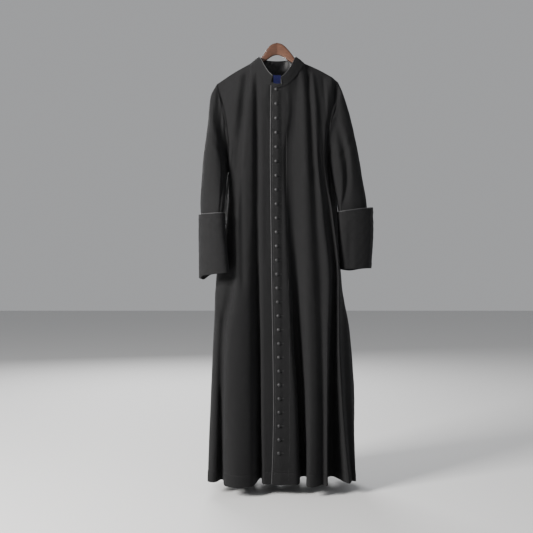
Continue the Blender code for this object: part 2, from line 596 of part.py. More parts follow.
def covered_button(name, base, out, mats, sides=10):
    turn = Vector(out).to_track_quat("Z", "Y").to_matrix()
    verts = []
    for radius, height in BUTTON_PROFILE:
        for k in range(sides):
            a = 2 * math.pi * k / sides
            verts.append(turn @ Vector((radius * math.cos(a), radius * math.sin(a), height)))
    verts.append(turn @ Vector((0, 0, BUTTON_HEIGHT)))
    faces = [tuple(range(sides))]
    for r in range(len(BUTTON_PROFILE) - 1):
        for k in range(sides):
            a, b = r * sides, (r + 1) * sides
            faces.append((a + k, a + (k + 1) % sides, b + (k + 1) % sides, b + k))
    last = (len(BUTTON_PROFILE) - 1) * sides
    faces += [(last + k, last + (k + 1) % sides, len(verts) - 1) for k in range(sides)]
    add_object(name, [v + Vector(base) for v in verts], faces, mats["button_black"])


# ---------------------------------------------------------------- the hanger
def build_hanger(mats):
    """A flat arched hanger with chamfered edges and the bored seat of its hook."""
    verts, faces = [], []
    for x, top, bottom in HANGER:
        c = HANGER_CHAMFER
        h = HANGER_HALF
        for y, z in ((-2.0, top), (2.0, top), (h, top - c * 1.6), (h, bottom + c), (3.5, bottom),
                     (-3.5, bottom), (-h, bottom + c), (-h, top - c * 1.6)):
            verts.append((x, y, z))
    n, ring = len(HANGER), 8
    for i in range(n - 1):
        for k in range(ring):
            a, b = i * ring, (i + 1) * ring
            faces.append((a + k, a + (k + 1) % ring, b + (k + 1) % ring, b + k))
    faces += [tuple(range(ring)), tuple(range((n - 1) * ring, n * ring))]
    hanger = add_object("hanger", verts, faces, mats["wood_brown"])
    bore_hook_hole(hanger)


def bore_hook_hole(hanger):
    verts, faces, sides = [], [], 16
    for z in (4.0, -HOOK_HOLE_DEPTH):
        for k in range(sides):
            a = 2 * math.pi * k / sides
            verts.append((HOOK_HOLE_RADIUS * math.cos(a), HOOK_HOLE_RADIUS * math.sin(a), z))
    for k in range(sides):
        faces.append((k, (k + 1) % sides, sides + (k + 1) % sides, sides + k))
    faces += [tuple(range(sides)), tuple(range(sides, 2 * sides))]
    drill = add_object("hook_drill", verts, faces, hanger.data.materials[0])
    cut = hanger.modifiers.new("hook_hole", "BOOLEAN")
    cut.operation, cut.solver, cut.object = "DIFFERENCE", "EXACT", drill
    view = bpy.context.evaluated_depsgraph_get()
    bored = bpy.data.meshes.new_from_object(hanger.evaluated_get(view))
    hanger.modifiers.clear()
    hanger.data = bored
    triangulate(bored)
    bpy.data.objects.remove(drill, do_unlink=True)


def main():
    for obj in list(bpy.data.objects):
        bpy.data.objects.remove(obj, do_unlink=True)
    mats = make_materials()
    grid, normals, spans = build_body(mats)
    build_sleeve("right", SLEEVE_RIGHT, CUFF_RIGHT, mats)
    build_sleeve("left", SLEEVE_LEFT, CUFF_LEFT, mats)
    build_collar(mats)
    build_neck_lining(grid, normals, spans, mats)
    build_closure(grid, normals, mats)
    build_hanger(mats)


main()
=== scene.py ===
"""The finished look of the black cassock on its hanger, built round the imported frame.

Every surface repeats the fold lines and sizes of its solid, in millimetres, then smooths
them, and adds the small creases, seams, stitching and weave of the real cloth.
"""
import math

import bpy
import numpy as np
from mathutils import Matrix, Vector
from mathutils.bvhtree import BVHTree


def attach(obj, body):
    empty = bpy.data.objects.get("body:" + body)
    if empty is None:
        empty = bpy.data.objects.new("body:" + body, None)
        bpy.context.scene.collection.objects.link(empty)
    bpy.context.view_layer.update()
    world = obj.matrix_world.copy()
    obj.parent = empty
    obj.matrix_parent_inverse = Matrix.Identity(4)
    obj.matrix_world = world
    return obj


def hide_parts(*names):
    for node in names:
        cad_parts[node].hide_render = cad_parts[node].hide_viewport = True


MM = 0.001
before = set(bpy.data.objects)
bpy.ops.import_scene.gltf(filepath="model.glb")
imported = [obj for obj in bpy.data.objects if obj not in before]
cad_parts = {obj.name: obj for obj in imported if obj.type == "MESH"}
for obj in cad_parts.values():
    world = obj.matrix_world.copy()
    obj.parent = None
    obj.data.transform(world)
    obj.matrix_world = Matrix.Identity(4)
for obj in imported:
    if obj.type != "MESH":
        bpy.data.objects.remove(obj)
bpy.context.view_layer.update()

# ---------------------------------------------------------------- sizes, in millimetres
CLOTH = 1.5            # wool wall
SEAM = 0.2             # each panel stops this short of its seam line
COLLAR_WALL = 2.2
LINING_WALL = 1.0
CUFF_WALL = 2.4
PIPING_RADIUS = 1.0
LAP_GAP = 4.0          # the closed front: the lower layer lies this far behind the upper

NECK_X = 2.0           # the neck ring stands a little off the hanger's middle
NECK = dict(half=95.0, front=68.0, back=52.0, z=-74.0, drop_front=100.0, drop_back=21.0)
COLLAR_TOP = dict(half=66.0, front=68.0, back=48.0, z=-51.0, drop_front=89.0, drop_back=3.0)
COLLAR_SPLIT = -15.5   # degrees from the centre front, + to the wearer's left
NOTCH_END = 9.0
NOTCH_HEIGHT = 0.36    # of the collar's height, left below the square notch

BUTTONS = 27
BUTTON_FIRST, BUTTON_PITCH, BUTTON_EASE = -181.0, -51.2, 0.092

HEM_Z, HEM_DROP = -1545.0, 0.12      # a fold that stands forward hangs a little lower
UNDERARM_Z = -500.0                  # rows are even above and below this level
ROWS_ABOVE, ROWS_BELOW = 56, 176
SKIRT_LENGTH = 1060.0                # about the way from that level to the hem
HEM_ROWS = (44.0, 41.5, 40.0, 38.5, 36.0, 4.0, 1.5)   # extra rows by the hem's stitches and edge

# ---------------------------------------------------------------- the folds, in millimetres
X_HEIGHTS = (-240.0, -420.0, -620.0, -853.0, -1050.0, -1285.0)   # and the hem
Y_HEIGHTS = (-240.0, -420.0, -620.0, -853.0)                     # and the hem

# One row per fold line: name, where its top lies (neck angle, shoulder x or armhole share),
# x at chest, underarm, waist, hip, thigh, shin and hem; y at chest, underarm, waist, hip and hem.
FRONT_RIGHT = (
    ("c_mid", "neck", -22, (-40, -40, -39, -37, -35, -32, -34), (-66, -68, -71, -83, -114)),
    ("c_left", "neck", -35, (-57, -57, -57, -57, -54, -52, -49), (-64, -66, -70, -81, -112)),
    ("v1_in", "neck", -43, (-68, -69, -68, -64, -61, -58, -56), (-58, -57, -57, -58, -56)),
    ("v1_out", "neck", -49, (-74, -75, -74, -70, -67, -64, -62), (-57, -56, -56, -59, -60)),
    ("b_slope", "neck", -58, (-84, -86, -88, -84, -82, -79, -75), (-61, -63, -66, -74, -104)),
    ("b_right", "neck", -72, (-96, -99, -103, -99, -99, -95, -91), (-65, -69, -74, -86, -138)),
    ("b_mid", "shoulder", -97, (-103, -112, -121, -122, -140, -143, -139), (-67, -71, -77, -91, -150)),
    ("b_left", "shoulder", -104, (-110, -124, -138, -142, -172, -180, -180), (-66, -70, -76, -86, -128)),
    ("v0_in", "shoulder", -112, (-121, -142, -156, -157, -189, -191, -191), (-59, -56, -53, -55, -74)),
    ("v0_out", "shoulder", -124, (-129, -149, -163, -166, -198, -200, -199), (-57, -52, -48, -51, -72)),
    ("a_in", "shoulder", -146, (-145, -157, -171, -184, -210, -213, -212), (-57, -47, -42, -48, -92)),
    ("a_crest", "shoulder", -174, (-162, -163, -176, -200, -220, -225, -226), (-54, -46, -32, -38, -98)),
    ("ah_1", "armhole", 0.00, (-184, -166, -178, -212, -226, -235, -242), (-44, -37, -24, -20, -88)),
    ("ah_2", "armhole", 0.25, (-190, -168, -179, -217, -227, -236, -242), (-40, -34, -14, -6, -62)),
    ("ah_3", "armhole", 0.50, (-190, -170, -179, -219, -226, -236, -238), (-40, -31, -4, 6, -38)),
    ("ah_4", "armhole", 0.75, (-190, -171, -179, -219, -225, -234, -232), (-36, -26, 6, 16, -18)),
)
SIDE_RIGHT = (
    ("s_front", "armhole", 0.875, (-190, -171, -182, -218, -224, -233, -229), (-20, -18, 13, 22, -2)),
    ("s_mid", "armhole", 1.00, (-190, -170, -185, -217, -224, -232, -227), (0, 2, 24, 30, 14)),
    ("s_back", "armhole", -0.875, (-190, -171, -188, -216, -225, -234, -230), (20, 20, 34, 38, 34)),
    ("s_pleat", "armhole", -0.75, (-190, -172, -191, -214, -226, -236, -238), (36, 34, 43, 48, 62)),
)
BACK_RIGHT = (
    ("bh_3", "armhole", -0.50, (-190, -177, -196, -209, -221, -231, -236), (42, 47, 52, 64, 92)),
    ("bh_2", "armhole", -0.25, (-190, -176, -191, -201, -212, -221, -225), (42, 52, 60, 77, 116)),
    ("bh_1", "armhole", -0.001, (-184, -168, -178, -188, -199, -207, -209), (42, 53, 63, 82, 128)),
    ("k1", "shoulder", -174, (-160, -150, -157, -162, -172, -180, -184), (46, 51, 58, 80, 126)),
    ("g1_out", "shoulder", -158, (-146, -140, -146, -150, -157, -165, -169), (45, 48, 52, 56, 58)),
    ("g1_in", "shoulder", -146, (-136, -132, -137, -141, -147, -154, -158), (45, 48, 51, 54, 52)),
    ("k2_out", "shoulder", -128, (-124, -122, -127, -131, -136, -141, -146), (50, 54, 60, 84, 132)),
    ("k2_in", "shoulder", -108, (-98, -98, -98, -100, -98, -96, -96), (52, 56, 62, 84, 130)),
    ("g2_out", "neck", -108, (-80, -81, -81, -83, -81, -79, -79), (49, 50, 51, 56, 54)),
    ("g2_in", "neck", -122, (-71, -71, -71, -73, -71, -68, -68), (48, 49, 50, 54, 50)),
    ("k3_out", "neck", -138, (-52, -54, -56, -58, -58, -58, -58), (52, 55, 60, 80, 122)),
    ("k3_in", "neck", -162, (-24, -24, -24, -22, -20, -18, -18), (54, 57, 62, 82, 124)),
)
CENTRE_BACK = ("centre_back", "neck", 180, (1, 1, 1, 2, 3, 3, 2), (51, 53, 55, 62, 70))
FRONT_LEFT = (
    ("f_edge", "neck", -14, (-22, -23, -21, -18, -15, -12, -19), (-69, -71, -74, -86, -118)),
    ("f_mid", "neck", -3.5, (-4, -4, -3, -1, 5, 6, 3), (-71, -73, -76, -89, -122)),
    ("f_stand", "neck", 7, (14, 12, 14, 19, 28, 35, 38), (-69, -71, -74, -87, -121)),
    ("c_right", "neck", 20, (41, 20, 27, 39, 48, 63, 71), (-66, -68, -72, -84, -116)),
    ("v2_in", "neck", 27, (53, 32, 42, 51, 59, 74, 84), (-61, -61, -60, -58, -44)),
    ("v2_out", "neck", 37, (65, 50, 58, 66, 76, 89, 101), (-60, -59, -58, -55, -40)),
    ("d_left", "neck", 58, (87, 89, 96, 100, 107, 111, 106), (-66, -70, -75, -88, -142)),
    ("d_crest", "neck", 74, (101, 106, 113, 122, 131, 134, 131), (-66, -70, -74, -87, -141)),
    ("d_trough", "shoulder", 99, (117, 124, 137, 152, 156, 158, 156), (-61, -62, -64, -74, -118)),
    ("d_right", "shoulder", 126, (131, 140, 158, 180, 175, 172, 170), (-65, -69, -73, -84, -132)),
    ("v3_in", "shoulder", 150, (146, 149, 175, 196, 189, 182, 180), (-58, -57, -56, -54, -46)),
    ("v3_out", "shoulder", 166, (160, 160, 187, 206, 203, 197, 197), (-56, -53, -50, -48, -40)),
    ("e_crest", "shoulder", 184, (177, 167, 195, 216, 216, 226, 249), (-57, -52, -58, -70, -108)),
    ("e_dip", "shoulder", 198, (187, 171, 198, 225, 235, 243, 262), (-48, -44, -42, -44, -84)),
    ("lh_1", "armhole", 0.00, (198, 174, 198, 227, 252, 262, 273), (-42, -38, -30, -28, -88)),
    ("lh_2", "armhole", 0.25, (205, 176, 197, 226, 260, 272, 274), (-40, -34, -16, -12, -60)),
    ("lh_3", "armhole", 0.50, (205, 178, 198, 225, 262, 276, 270), (-40, -30, -4, 2, -35)),
    ("lh_4", "armhole", 0.75, (205, 180, 199, 224, 263, 278, 265), (-36, -24, 8, 12, -15)),
)
SIDE_LEFT = (
    ("t_front", "armhole", 0.875, (205, 181, 203, 225, 263, 278, 263), (-20, -16, 16, 18, -2)),
    ("t_mid", "armhole", 1.00, (205, 181, 209, 228, 264, 278, 262), (0, 4, 26, 28, 14)),
    ("t_back", "armhole", -0.875, (205, 181, 216, 232, 265, 279, 265), (20, 22, 38, 43, 36)),
    ("t_pleat", "armhole", -0.75, (205, 183, 221, 236, 265, 279, 272), (36, 37, 49, 60, 64)),
)
# The left back repeats the right back's folds, wider at each height and uneven in depth.
LEFT_SPREAD = (1.06, 1.08, 1.14, 1.13, 1.16, 1.17, 1.15)
LEFT_DEPTH = {"bh_3": 1.05, "bh_2": 1.0, "bh_1": 0.94, "k1": 1.06, "g1_out": 1.12, "g1_in": 1.2,
              "k2_out": 0.92, "k2_in": 0.95, "g2_out": 1.1, "g2_in": 1.0, "k3_out": 1.07,
              "k3_in": 0.97}

# One row per point down the armhole: share of the way, x, y at front, y at back, z.
ARMHOLE = {
    "right": ((0.0, -216, 0, 0, -149), (0.25, -202, -35, 31, -216), (0.5, -190, -45, 42, -285),
              (0.75, -177, -36, 35, -376), (0.875, -171, -20, 19, -417), (1.0, -168, 0, 0, -450)),
    "left": ((0.0, 218, 0, 0, -141), (0.25, 211, -35, 31, -223), (0.5, 193, -45, 42, -292),
             (0.75, 184, -36, 35, -369), (0.875, 181, -20, 19, -402), (1.0, 181, 0, 0, -432)),
}

# One row per sleeve ring: outer x, outer z, inner x, inner z, y at outer edge, y at inner edge,
# depth forward, depth back, where the ridge and the groove lie from outer to inner, groove depth.
SLEEVE_RIGHT = (
    (-228, -170, -175, -461, -3, -5, 42, 38, 0.50, 0.70, 0),
    (-237, -190, -178, -473, -6, -12, 45, 38, 0.54, 0.72, 1),
    (-243, -229, -179, -487, -12, -25, 47, 38, 0.60, 0.76, 3),
    (-247, -280, -180, -504, -17, -38, 48, 37, 0.65, 0.82, 5),
    (-254, -345, -180, -523, -22, -50, 47, 35, 0.69, 0.86, 6),
    (-263, -410, -182, -545, -26, -61, 46, 33, 0.72, 0.88, 6),
    (-268, -489, -184, -571, -30, -71, 44, 31, 0.74, 0.86, 4),
    (-273, -575, -187, -603, -34, -79, 40, 28, 0.75, 0.86, 2),
    (-271, -628, -191, -628, -36, -82, 37, 25, 0.75, 0.86, 1),
)
SLEEVE_LEFT = (
    (230, -167, 187, -447, 0, -2, 42, 38, 0.22, 0.50, 2),
    (243, -202, 191, -461, 0, -4, 46, 40, 0.20, 0.48, 6),
    (257, -248, 195, -479, 0, -6, 49, 42, 0.18, 0.46, 10),
    (270, -299, 199, -498, 0, -10, 50, 42, 0.16, 0.46, 13),
    (283, -356, 204, -520, 0, -13, 50, 42, 0.16, 0.48, 14),
    (295, -421, 208, -542, 0, -16, 49, 42, 0.17, 0.56, 13),
    (308, -497, 213, -563, 0, -18, 46, 40, 0.20, 0.70, 10),
    (320, -565, 216, -588, 0, -20, 42, 37, 0.24, 0.84, 5),
    (326, -618, 221, -622, 0, -20, 37, 34, 0.26, 0.90, 2),
)
# The cuff's own rings, top to bottom, in the same columns.
CUFF_RIGHT = (
    (-278, -622, -184, -619, -35, -84, 43, 31, 0.58, 0.84, 0),
    (-278, -693, -181, -686, -35, -88, 41, 29, 0.56, 0.84, 0),
    (-278, -766, -175, -757, -36, -91, 38, 27, 0.55, 0.84, 0),
    (-277, -838, -169, -825, -38, -94, 35, 25, 0.55, 0.84, 0),
)
CUFF_LEFT = (
    (345, -594, 215, -612, 0, -20, 46, 42, 0.42, 0.70, 0),
    (346, -666, 218, -676, 0, -20, 45, 41, 0.42, 0.70, 2),
    (343, -739, 222, -746, 0, -20, 43, 39, 0.44, 0.72, 3),
    (339, -811, 226, -813, 0, -20, 41, 37, 0.45, 0.72, 2),
)
SLEEVE_INSET = 6.0     # the sleeve runs on inside the cuff, this far from it

# One row per hanger station: x, top z, bottom z.
HANGER = (
    (-212, -163, -176), (-205, -155, -176), (-176, -136, -160), (-137, -112, -138),
    (-92, -89, -112), (-64, -60, -83), (-51, -45, -70), (-36, -22, -61), (-25, -9.5, -53),
    (-12, -2, -46), (1, 0, -43.5), (13, -2, -46), (26, -9.5, -53), (38.5, -22, -62),
    (57, -45, -73), (67, -59, -82), (97, -89, -113), (148, -112, -140), (188, -132, -158),
    (203, -145, -170), (211, -156, -172),
)
HANGER_HALF = 6.0      # half its thickness
HANGER_SIDES = 24      # points round its section
HOOK_HOLE_RADIUS = 2.0

LABEL_X, LABEL_WIDTH, LABEL_TOP, LABEL_HEIGHT, LABEL_WALL = 1.0, 27.0, -105.0, 40.0, 1.0

# ---------------------------------------------------------------- curves
def pchip(knots, values, at):
    """Monotone cubic through values at falling knots."""
    xs, ys = -np.asarray(knots, float), np.asarray(values, float)
    h, d = np.diff(xs), np.diff(ys) / np.diff(xs)
    m = np.zeros(len(xs))
    if len(xs) == 2:
        m[:] = d[0]
    else:
        for i in range(1, len(xs) - 1):
            if d[i - 1] * d[i] > 0:
                w1, w2 = 2 * h[i] + h[i - 1], h[i] + 2 * h[i - 1]
                m[i] = (w1 + w2) / (w1 / d[i - 1] + w2 / d[i])
        for end, first, second in ((0, 0, 1), (-1, -1, -2)):
            slope = ((2 * h[first] + h[second]) * d[first] - h[first] * d[second]) \
                / (h[first] + h[second])
            m[end] = 0.0 if slope * d[first] <= 0 else math.copysign(
                min(abs(slope), 3 * abs(d[first])), slope)
    x = np.clip(-np.asarray(at, float), xs[0], xs[-1])
    i = np.clip(np.searchsorted(xs, x, side="right") - 1, 0, len(h) - 1)
    t = (x - xs[i]) / h[i]
    return (ys[i] * (1 + 2 * t) * (1 - t) ** 2 + m[i] * h[i] * t * (1 - t) ** 2
            + ys[i + 1] * t * t * (3 - 2 * t) + m[i + 1] * h[i] * t * t * (t - 1))


def ring_point(ring, degrees):
    """A point of the neck seam or of the collar's top edge."""
    a = math.radians(degrees)
    front = math.cos(a) > 0
    depth, drop = (ring["front"], ring["drop_front"]) if front else (ring["back"], ring["drop_back"])
    return np.array((NECK_X + ring["half"] * math.sin(a), -depth * math.cos(a),
                     ring["z"] - drop * math.cos(a) ** 2))


def shoulder_z(x):
    """Height of the shoulder seam, which falls from the neck to the sleeve head."""
    if x < 0:
        out = -x - 93.0
        return -74.0 - 0.50 * out - 0.0009 * out ** 2
    out = x - 97.0
    return -74.0 - 0.42 * out - 8e-6 * out ** 3


def armhole_point(side, share):
    """A point of the armhole; negative shares run down the back of it."""
    rows = ARMHOLE[side]
    at = abs(share)
    shares = [row[0] for row in rows]
    pick = 2 if share >= 0 else 3
    return np.array([np.interp(at, shares, [row[k] for row in rows]) for k in (1, pick, 4)])


def fold_top(kind, value, side):
    if kind == "neck":
        return ring_point(NECK, value)
    if kind == "armhole":
        return armhole_point(side, value)
    return np.array((value, 0.0, shoulder_z(value)))


def fold_line(row, side):
    """All points of one fold line, from its seam at the top down to the hem."""
    _, kind, value, xs, ys = row
    top = fold_top(kind, value, side)
    hem = HEM_Z - HEM_DROP * abs(ys[-1])
    below = np.concatenate((np.linspace(0, 1, ROWS_BELOW + 1)[1:],
                            [1 - r / SKIRT_LENGTH for r in HEM_ROWS]))
    heights = np.concatenate((np.linspace(top[2], UNDERARM_Z, ROWS_ABOVE + 1),
                              UNDERARM_Z + (hem - UNDERARM_Z) * np.sort(below)))
    def through(levels, values, start):
        kept = [(z, v) for z, v in zip(levels, values) if z < top[2] - 25.0]
        return pchip([top[2]] + [z for z, _ in kept] + [hem],
                     [start] + [v for _, v in kept] + [values[-1]], heights)
    line = np.stack((through(X_HEIGHTS, xs, top[0]), through(Y_HEIGHTS, ys, top[1]), heights), 1)
    if kind == "armhole" and abs(value) <= 0.5:
        follow_armhole(line, side, value)
    return line


def follow_armhole(line, side, share):
    """Keep a line that starts on the armhole beside it, and let it go towards the underarm."""
    rows = ARMHOLE[side]
    down = [-row[4] for row in rows]
    bottom, top = rows[-1][4], line[0, 2]
    gap = 2.0 + 12.0 * (1 - abs(share)) ** 1.5
    for point in line:
        z = point[2]
        if bottom < z < top:
            go = (top - z) / (top - bottom)
            go = go * go * (3 - 2 * go)
            beside = gap * min(1.0, (top - z) / 40.0)
            x = np.interp(-z, down, [row[1] for row in rows])
            y = np.interp(-z, down, [row[2 if share >= 0 else 3] for row in rows])
            x -= math.copysign(beside, x)
            point[0] += (x - point[0]) * (1 - go)
            point[1] += (y - point[1]) * (1 - go)


def left_back_rows():
    """The left back's folds, from the centre back round to the left armhole."""
    rows = []
    for name, kind, value, xs, ys in reversed(BACK_RIGHT):
        wide = tuple(-x * k for x, k in zip(xs, LEFT_SPREAD))
        deep = tuple(y * (1 + (LEFT_DEPTH[name] - 1) * k) for y, k in zip(ys, (0.1, 0.2, 0.4, 0.7, 1)))
        rows.append((name, kind, value if kind == "armhole" else -value, wide, deep))
    return rows


def body_lines():
    """The whole ring of fold lines, and the first and last line of each panel."""
    left = [fold_line(row, "left") for row in FRONT_LEFT]
    behind = np.array((0.0, LAP_GAP, 0.0))
    lap = [line + behind for line in (left[2], left[1], left[0])]
    right = [fold_line(row, "right") for row in FRONT_RIGHT]
    side_r = [fold_line(row, "right") for row in SIDE_RIGHT]
    back_r = [fold_line(row, "right") for row in BACK_RIGHT]
    centre = [fold_line(CENTRE_BACK, "right")]
    back_l = [fold_line(row, "left") for row in left_back_rows()]
    side_l = [fold_line(row, "left") for row in reversed(SIDE_LEFT)]
    runs = (("front_right", lap + right), ("side_right", side_r), ("back_right", back_r + centre),
            ("back_left", back_l), ("side_left", side_l), ("front_left", left[::-1]))
    lines, spans = [], {}
    for name, run in runs:
        spans[name] = (max(len(lines) - 1, 0), len(lines) + len(run) - 1)
        lines += run
    spans["back_left"] = (spans["back_right"][1], spans["back_left"][1])
    return np.array(lines), spans


# ---------------------------------------------------------------- smooth surfaces
def unit(v):
    return v / np.maximum(np.linalg.norm(v, axis=-1, keepdims=True), 1e-9)


def spline_through(points, spacing, closed=False, ease=1.0):
    """Fill in a grid along its first axis with a centripetal spline.

    Where ease is 0 the spans are straight. Returns the dense grid and the index of each
    given line in it."""
    n = len(points)
    def at(i):
        if closed:
            return points[i % n]
        if i < 0:
            return 2 * points[0] - points[1]
        return points[i] if i < n else 2 * points[-1] - points[-2]
    dense, index = [], []
    for i in range(n if closed else n - 1):
        p0, p1, p2, p3 = (at(i + k) for k in (-1, 0, 1, 2))
        knots = [np.zeros(p1.shape[:-1])]
        for a, b in ((p0, p1), (p1, p2), (p2, p3)):
            knots.append(knots[-1] + np.maximum(np.linalg.norm(b - a, axis=-1), 1e-3) ** 0.5)
        t0, t1, t2, t3 = (k[..., None] for k in knots)
        count = max(1, int(math.ceil(np.linalg.norm(p2 - p1, axis=-1).max() / spacing)))
        index.append(len(dense))
        for k in range(count):
            t = t1 + (t2 - t1) * (k / count)
            a1 = (t1 - t) / (t1 - t0) * p0 + (t - t0) / (t1 - t0) * p1
            a2 = (t2 - t) / (t2 - t1) * p1 + (t - t1) / (t2 - t1) * p2
            a3 = (t3 - t) / (t3 - t2) * p2 + (t - t2) / (t3 - t2) * p3
            b1 = (t2 - t) / (t2 - t0) * a1 + (t - t0) / (t2 - t0) * a2
            b2 = (t3 - t) / (t3 - t1) * a2 + (t - t1) / (t3 - t1) * a3
            straight = p1 + (p2 - p1) * (k / count)
            curved = (t2 - t) / (t2 - t1) * b1 + (t - t1) / (t2 - t1) * b2
            dense.append(straight + (curved - straight) * ease)
    if not closed:
        index.append(len(dense))
        dense.append(points[-1])
    return np.array(dense), index


def grid_normals(grid, closed=False):
    """Smooth outward normals of a grid of points."""
    if closed:
        du = np.roll(grid, -1, 0) - np.roll(grid, 1, 0)
    else:
        du = np.gradient(grid, axis=0)
    dv = np.gradient(grid, axis=1)
    return unit(np.cross(du, dv))


def waves(p, size, seed, count=7):
    """Soft irregular bumps about size millimetres across, between about -1 and 1."""
    rng = np.random.RandomState(seed)
    total = np.zeros(p.shape[:-1])
    for _ in range(count):
        way = unit(rng.normal(size=3)) * (2 * math.pi / size) * rng.uniform(0.7, 1.4)
        total += np.sin(p @ way + rng.uniform(0, 6.28))
    return total / count ** 0.5 / 1.4


def crease_height(p, normals, piece):
    """Sum of the listed creases of one piece, in millimetres along the normal."""
    total = np.zeros(p.shape[:-1])
    rows = [(face, *row) for (name, face), group in CREASES.items() if name == piece for row in group]
    for face, x0, z0, x1, z1, half, height in rows:
        start, way = np.array((x0, z0)), np.array((x1 - x0, z1 - z0), float)
        length = np.linalg.norm(way)
        rel = p[..., (0, 2)] - start
        along = rel @ way / length ** 2
        across = (rel[..., 0] * way[1] - rel[..., 1] * way[0]) / length
        fade = np.clip(np.minimum(along * length / 30 + 0.7, (1 - along) * 4 + 0.4), 0, 1)
        fade = fade * fade * (3 - 2 * fade)
        seen = np.clip(face * normals[..., 1] * 2.5, 0, 1)
        total += height * np.exp(-(across / half) ** 2) * fade * seen
    return total


# ---------------------------------------------------------------- meshes
def shell_mesh(name, grid, normals, wall, material, closed=False):
    """A closed wall round a dense grid, smooth on both skins and crisp at its rims."""
    n, m = grid.shape[:2]
    outer, inner = grid + normals * (wall / 2), grid - normals * (wall / 2)
    verts = np.concatenate((outer.reshape(-1, 3), inner.reshape(-1, 3)))
    back = n * m
    last = n if closed else n - 1
    i, j = np.meshgrid(np.arange(last), np.arange(m - 1), indexing="ij")
    nxt = (i + 1) % n
    quads = np.stack((i * m + j, nxt * m + j, nxt * m + j + 1, i * m + j + 1), -1).reshape(-1, 4)
    faces = [quads, quads[:, ::-1] + back]
    k = np.arange(last)
    k2 = (k + 1) % n
    faces.append(np.stack((k * m, k * m + back, k2 * m + back, k2 * m), -1))
    e, e2 = k * m + m - 1, k2 * m + m - 1
    faces.append(np.stack((e, e2, e2 + back, e + back), -1))
    if not closed:
        r = np.arange(m - 1)
        faces.append(np.stack((r, r + 1, r + 1 + back, r + back), -1))
        r = r + (n - 1) * m
        faces.append(np.stack((r, r + back, r + 1 + back, r + 1), -1))
    return mesh_object(name, verts, np.concatenate(faces), material)


def mesh_object(name, verts, faces, material, sharp=50.0):
    mesh = bpy.data.meshes.new(name)
    mesh.from_pydata((np.asarray(verts, float) * MM).tolist(), [],
                     faces.tolist() if hasattr(faces, "tolist") else faces)
    mesh.polygons.foreach_set("use_smooth", [True] * len(mesh.polygons))
    mesh.set_sharp_from_angle(angle=math.radians(sharp))
    mesh.materials.append(material)
    obj = bpy.data.objects.new(name, mesh)
    bpy.context.scene.collection.objects.link(obj)
    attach(obj, "root")
    return obj


def tube_parts(path, radius, closed=False, sides=8, across=(0, -1, 0.05)):
    """Vertices and faces of a round cord along a path."""
    path = np.asarray(path, float)
    if closed:
        along = unit(np.roll(path, -1, 0) - np.roll(path, 1, 0))
    else:
        along = unit(np.gradient(path, axis=0))
    side = unit(np.cross(along, np.array(across, float)))
    up = np.cross(side, along)
    n = len(path)
    turn = np.arange(sides) * 2 * math.pi / sides
    verts = (path[:, None] + radius * (np.cos(turn)[None, :, None] * side[:, None]
                                       + np.sin(turn)[None, :, None] * up[:, None])).reshape(-1, 3)
    faces = []
    for i in range(n if closed else n - 1):
        a, b = i * sides, (i + 1) % n * sides
        faces += [(a + k, b + k, b + (k + 1) % sides, a + (k + 1) % sides) for k in range(sides)]
    if not closed:
        faces += [tuple(range(sides)), tuple(reversed(range((n - 1) * sides, n * sides)))]
    return verts, faces


def ring_quads(rings, sides):
    """The faces between neighbouring rings of points."""
    return [(a * sides + k, a * sides + (k + 1) % sides, (a + 1) * sides + (k + 1) % sides,
             (a + 1) * sides + k) for a in range(rings - 1) for k in range(sides)]


def turned(profile, sides):
    """The points of a (radius, height) profile turned round the z axis."""
    return [(r * math.cos(2 * math.pi * k / sides), r * math.sin(2 * math.pi * k / sides), h)
            for r, h in profile for k in range(sides)]


def joined(name, parts, material, sharp=60.0):
    """One object from many small (verts, faces) parts."""
    verts, faces, base = [], [], 0
    for v, f in parts:
        verts.append(v)
        faces += [tuple(i + base for i in face) for face in f]
        base += len(v)
    return mesh_object(name, np.concatenate(verts), faces, material, sharp)


def cloth_piece(name, grid, wall, material, node, closed=False):
    """A cloth shell that stands for one solid of the frame."""
    obj = shell_mesh(name, grid, grid_normals(grid, closed), wall, material, closed)
    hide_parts(node)


def piping(node, parts, mats):
    """A piping cord that stands for one solid of the frame."""
    obj = joined(node + "_cord", [parts], mats["piping"])
    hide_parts(node)


def skin_tree(grid):
    """A tree of one skin, to lay small things on it."""
    n, m = grid.shape[:2]
    verts = [Vector(p) for p in grid.reshape(-1, 3)]
    quads = [(i * m + j, (i + 1) * m + j, (i + 1) * m + j + 1, i * m + j + 1)
             for i in range(n - 1) for j in range(m - 1)]
    return BVHTree.FromPolygons(verts, quads)


def on_front(tree, x, z):
    """The point and outward normal of a skin straight behind (x, z), seen from the front."""
    hit, normal, _, _ = tree.ray_cast(Vector((x, -1000.0, z)), Vector((0, 1, 0)))
    if hit is None:
        return None
    if normal.y > 0:
        normal = -normal
    return np.array(hit), np.array(normal)


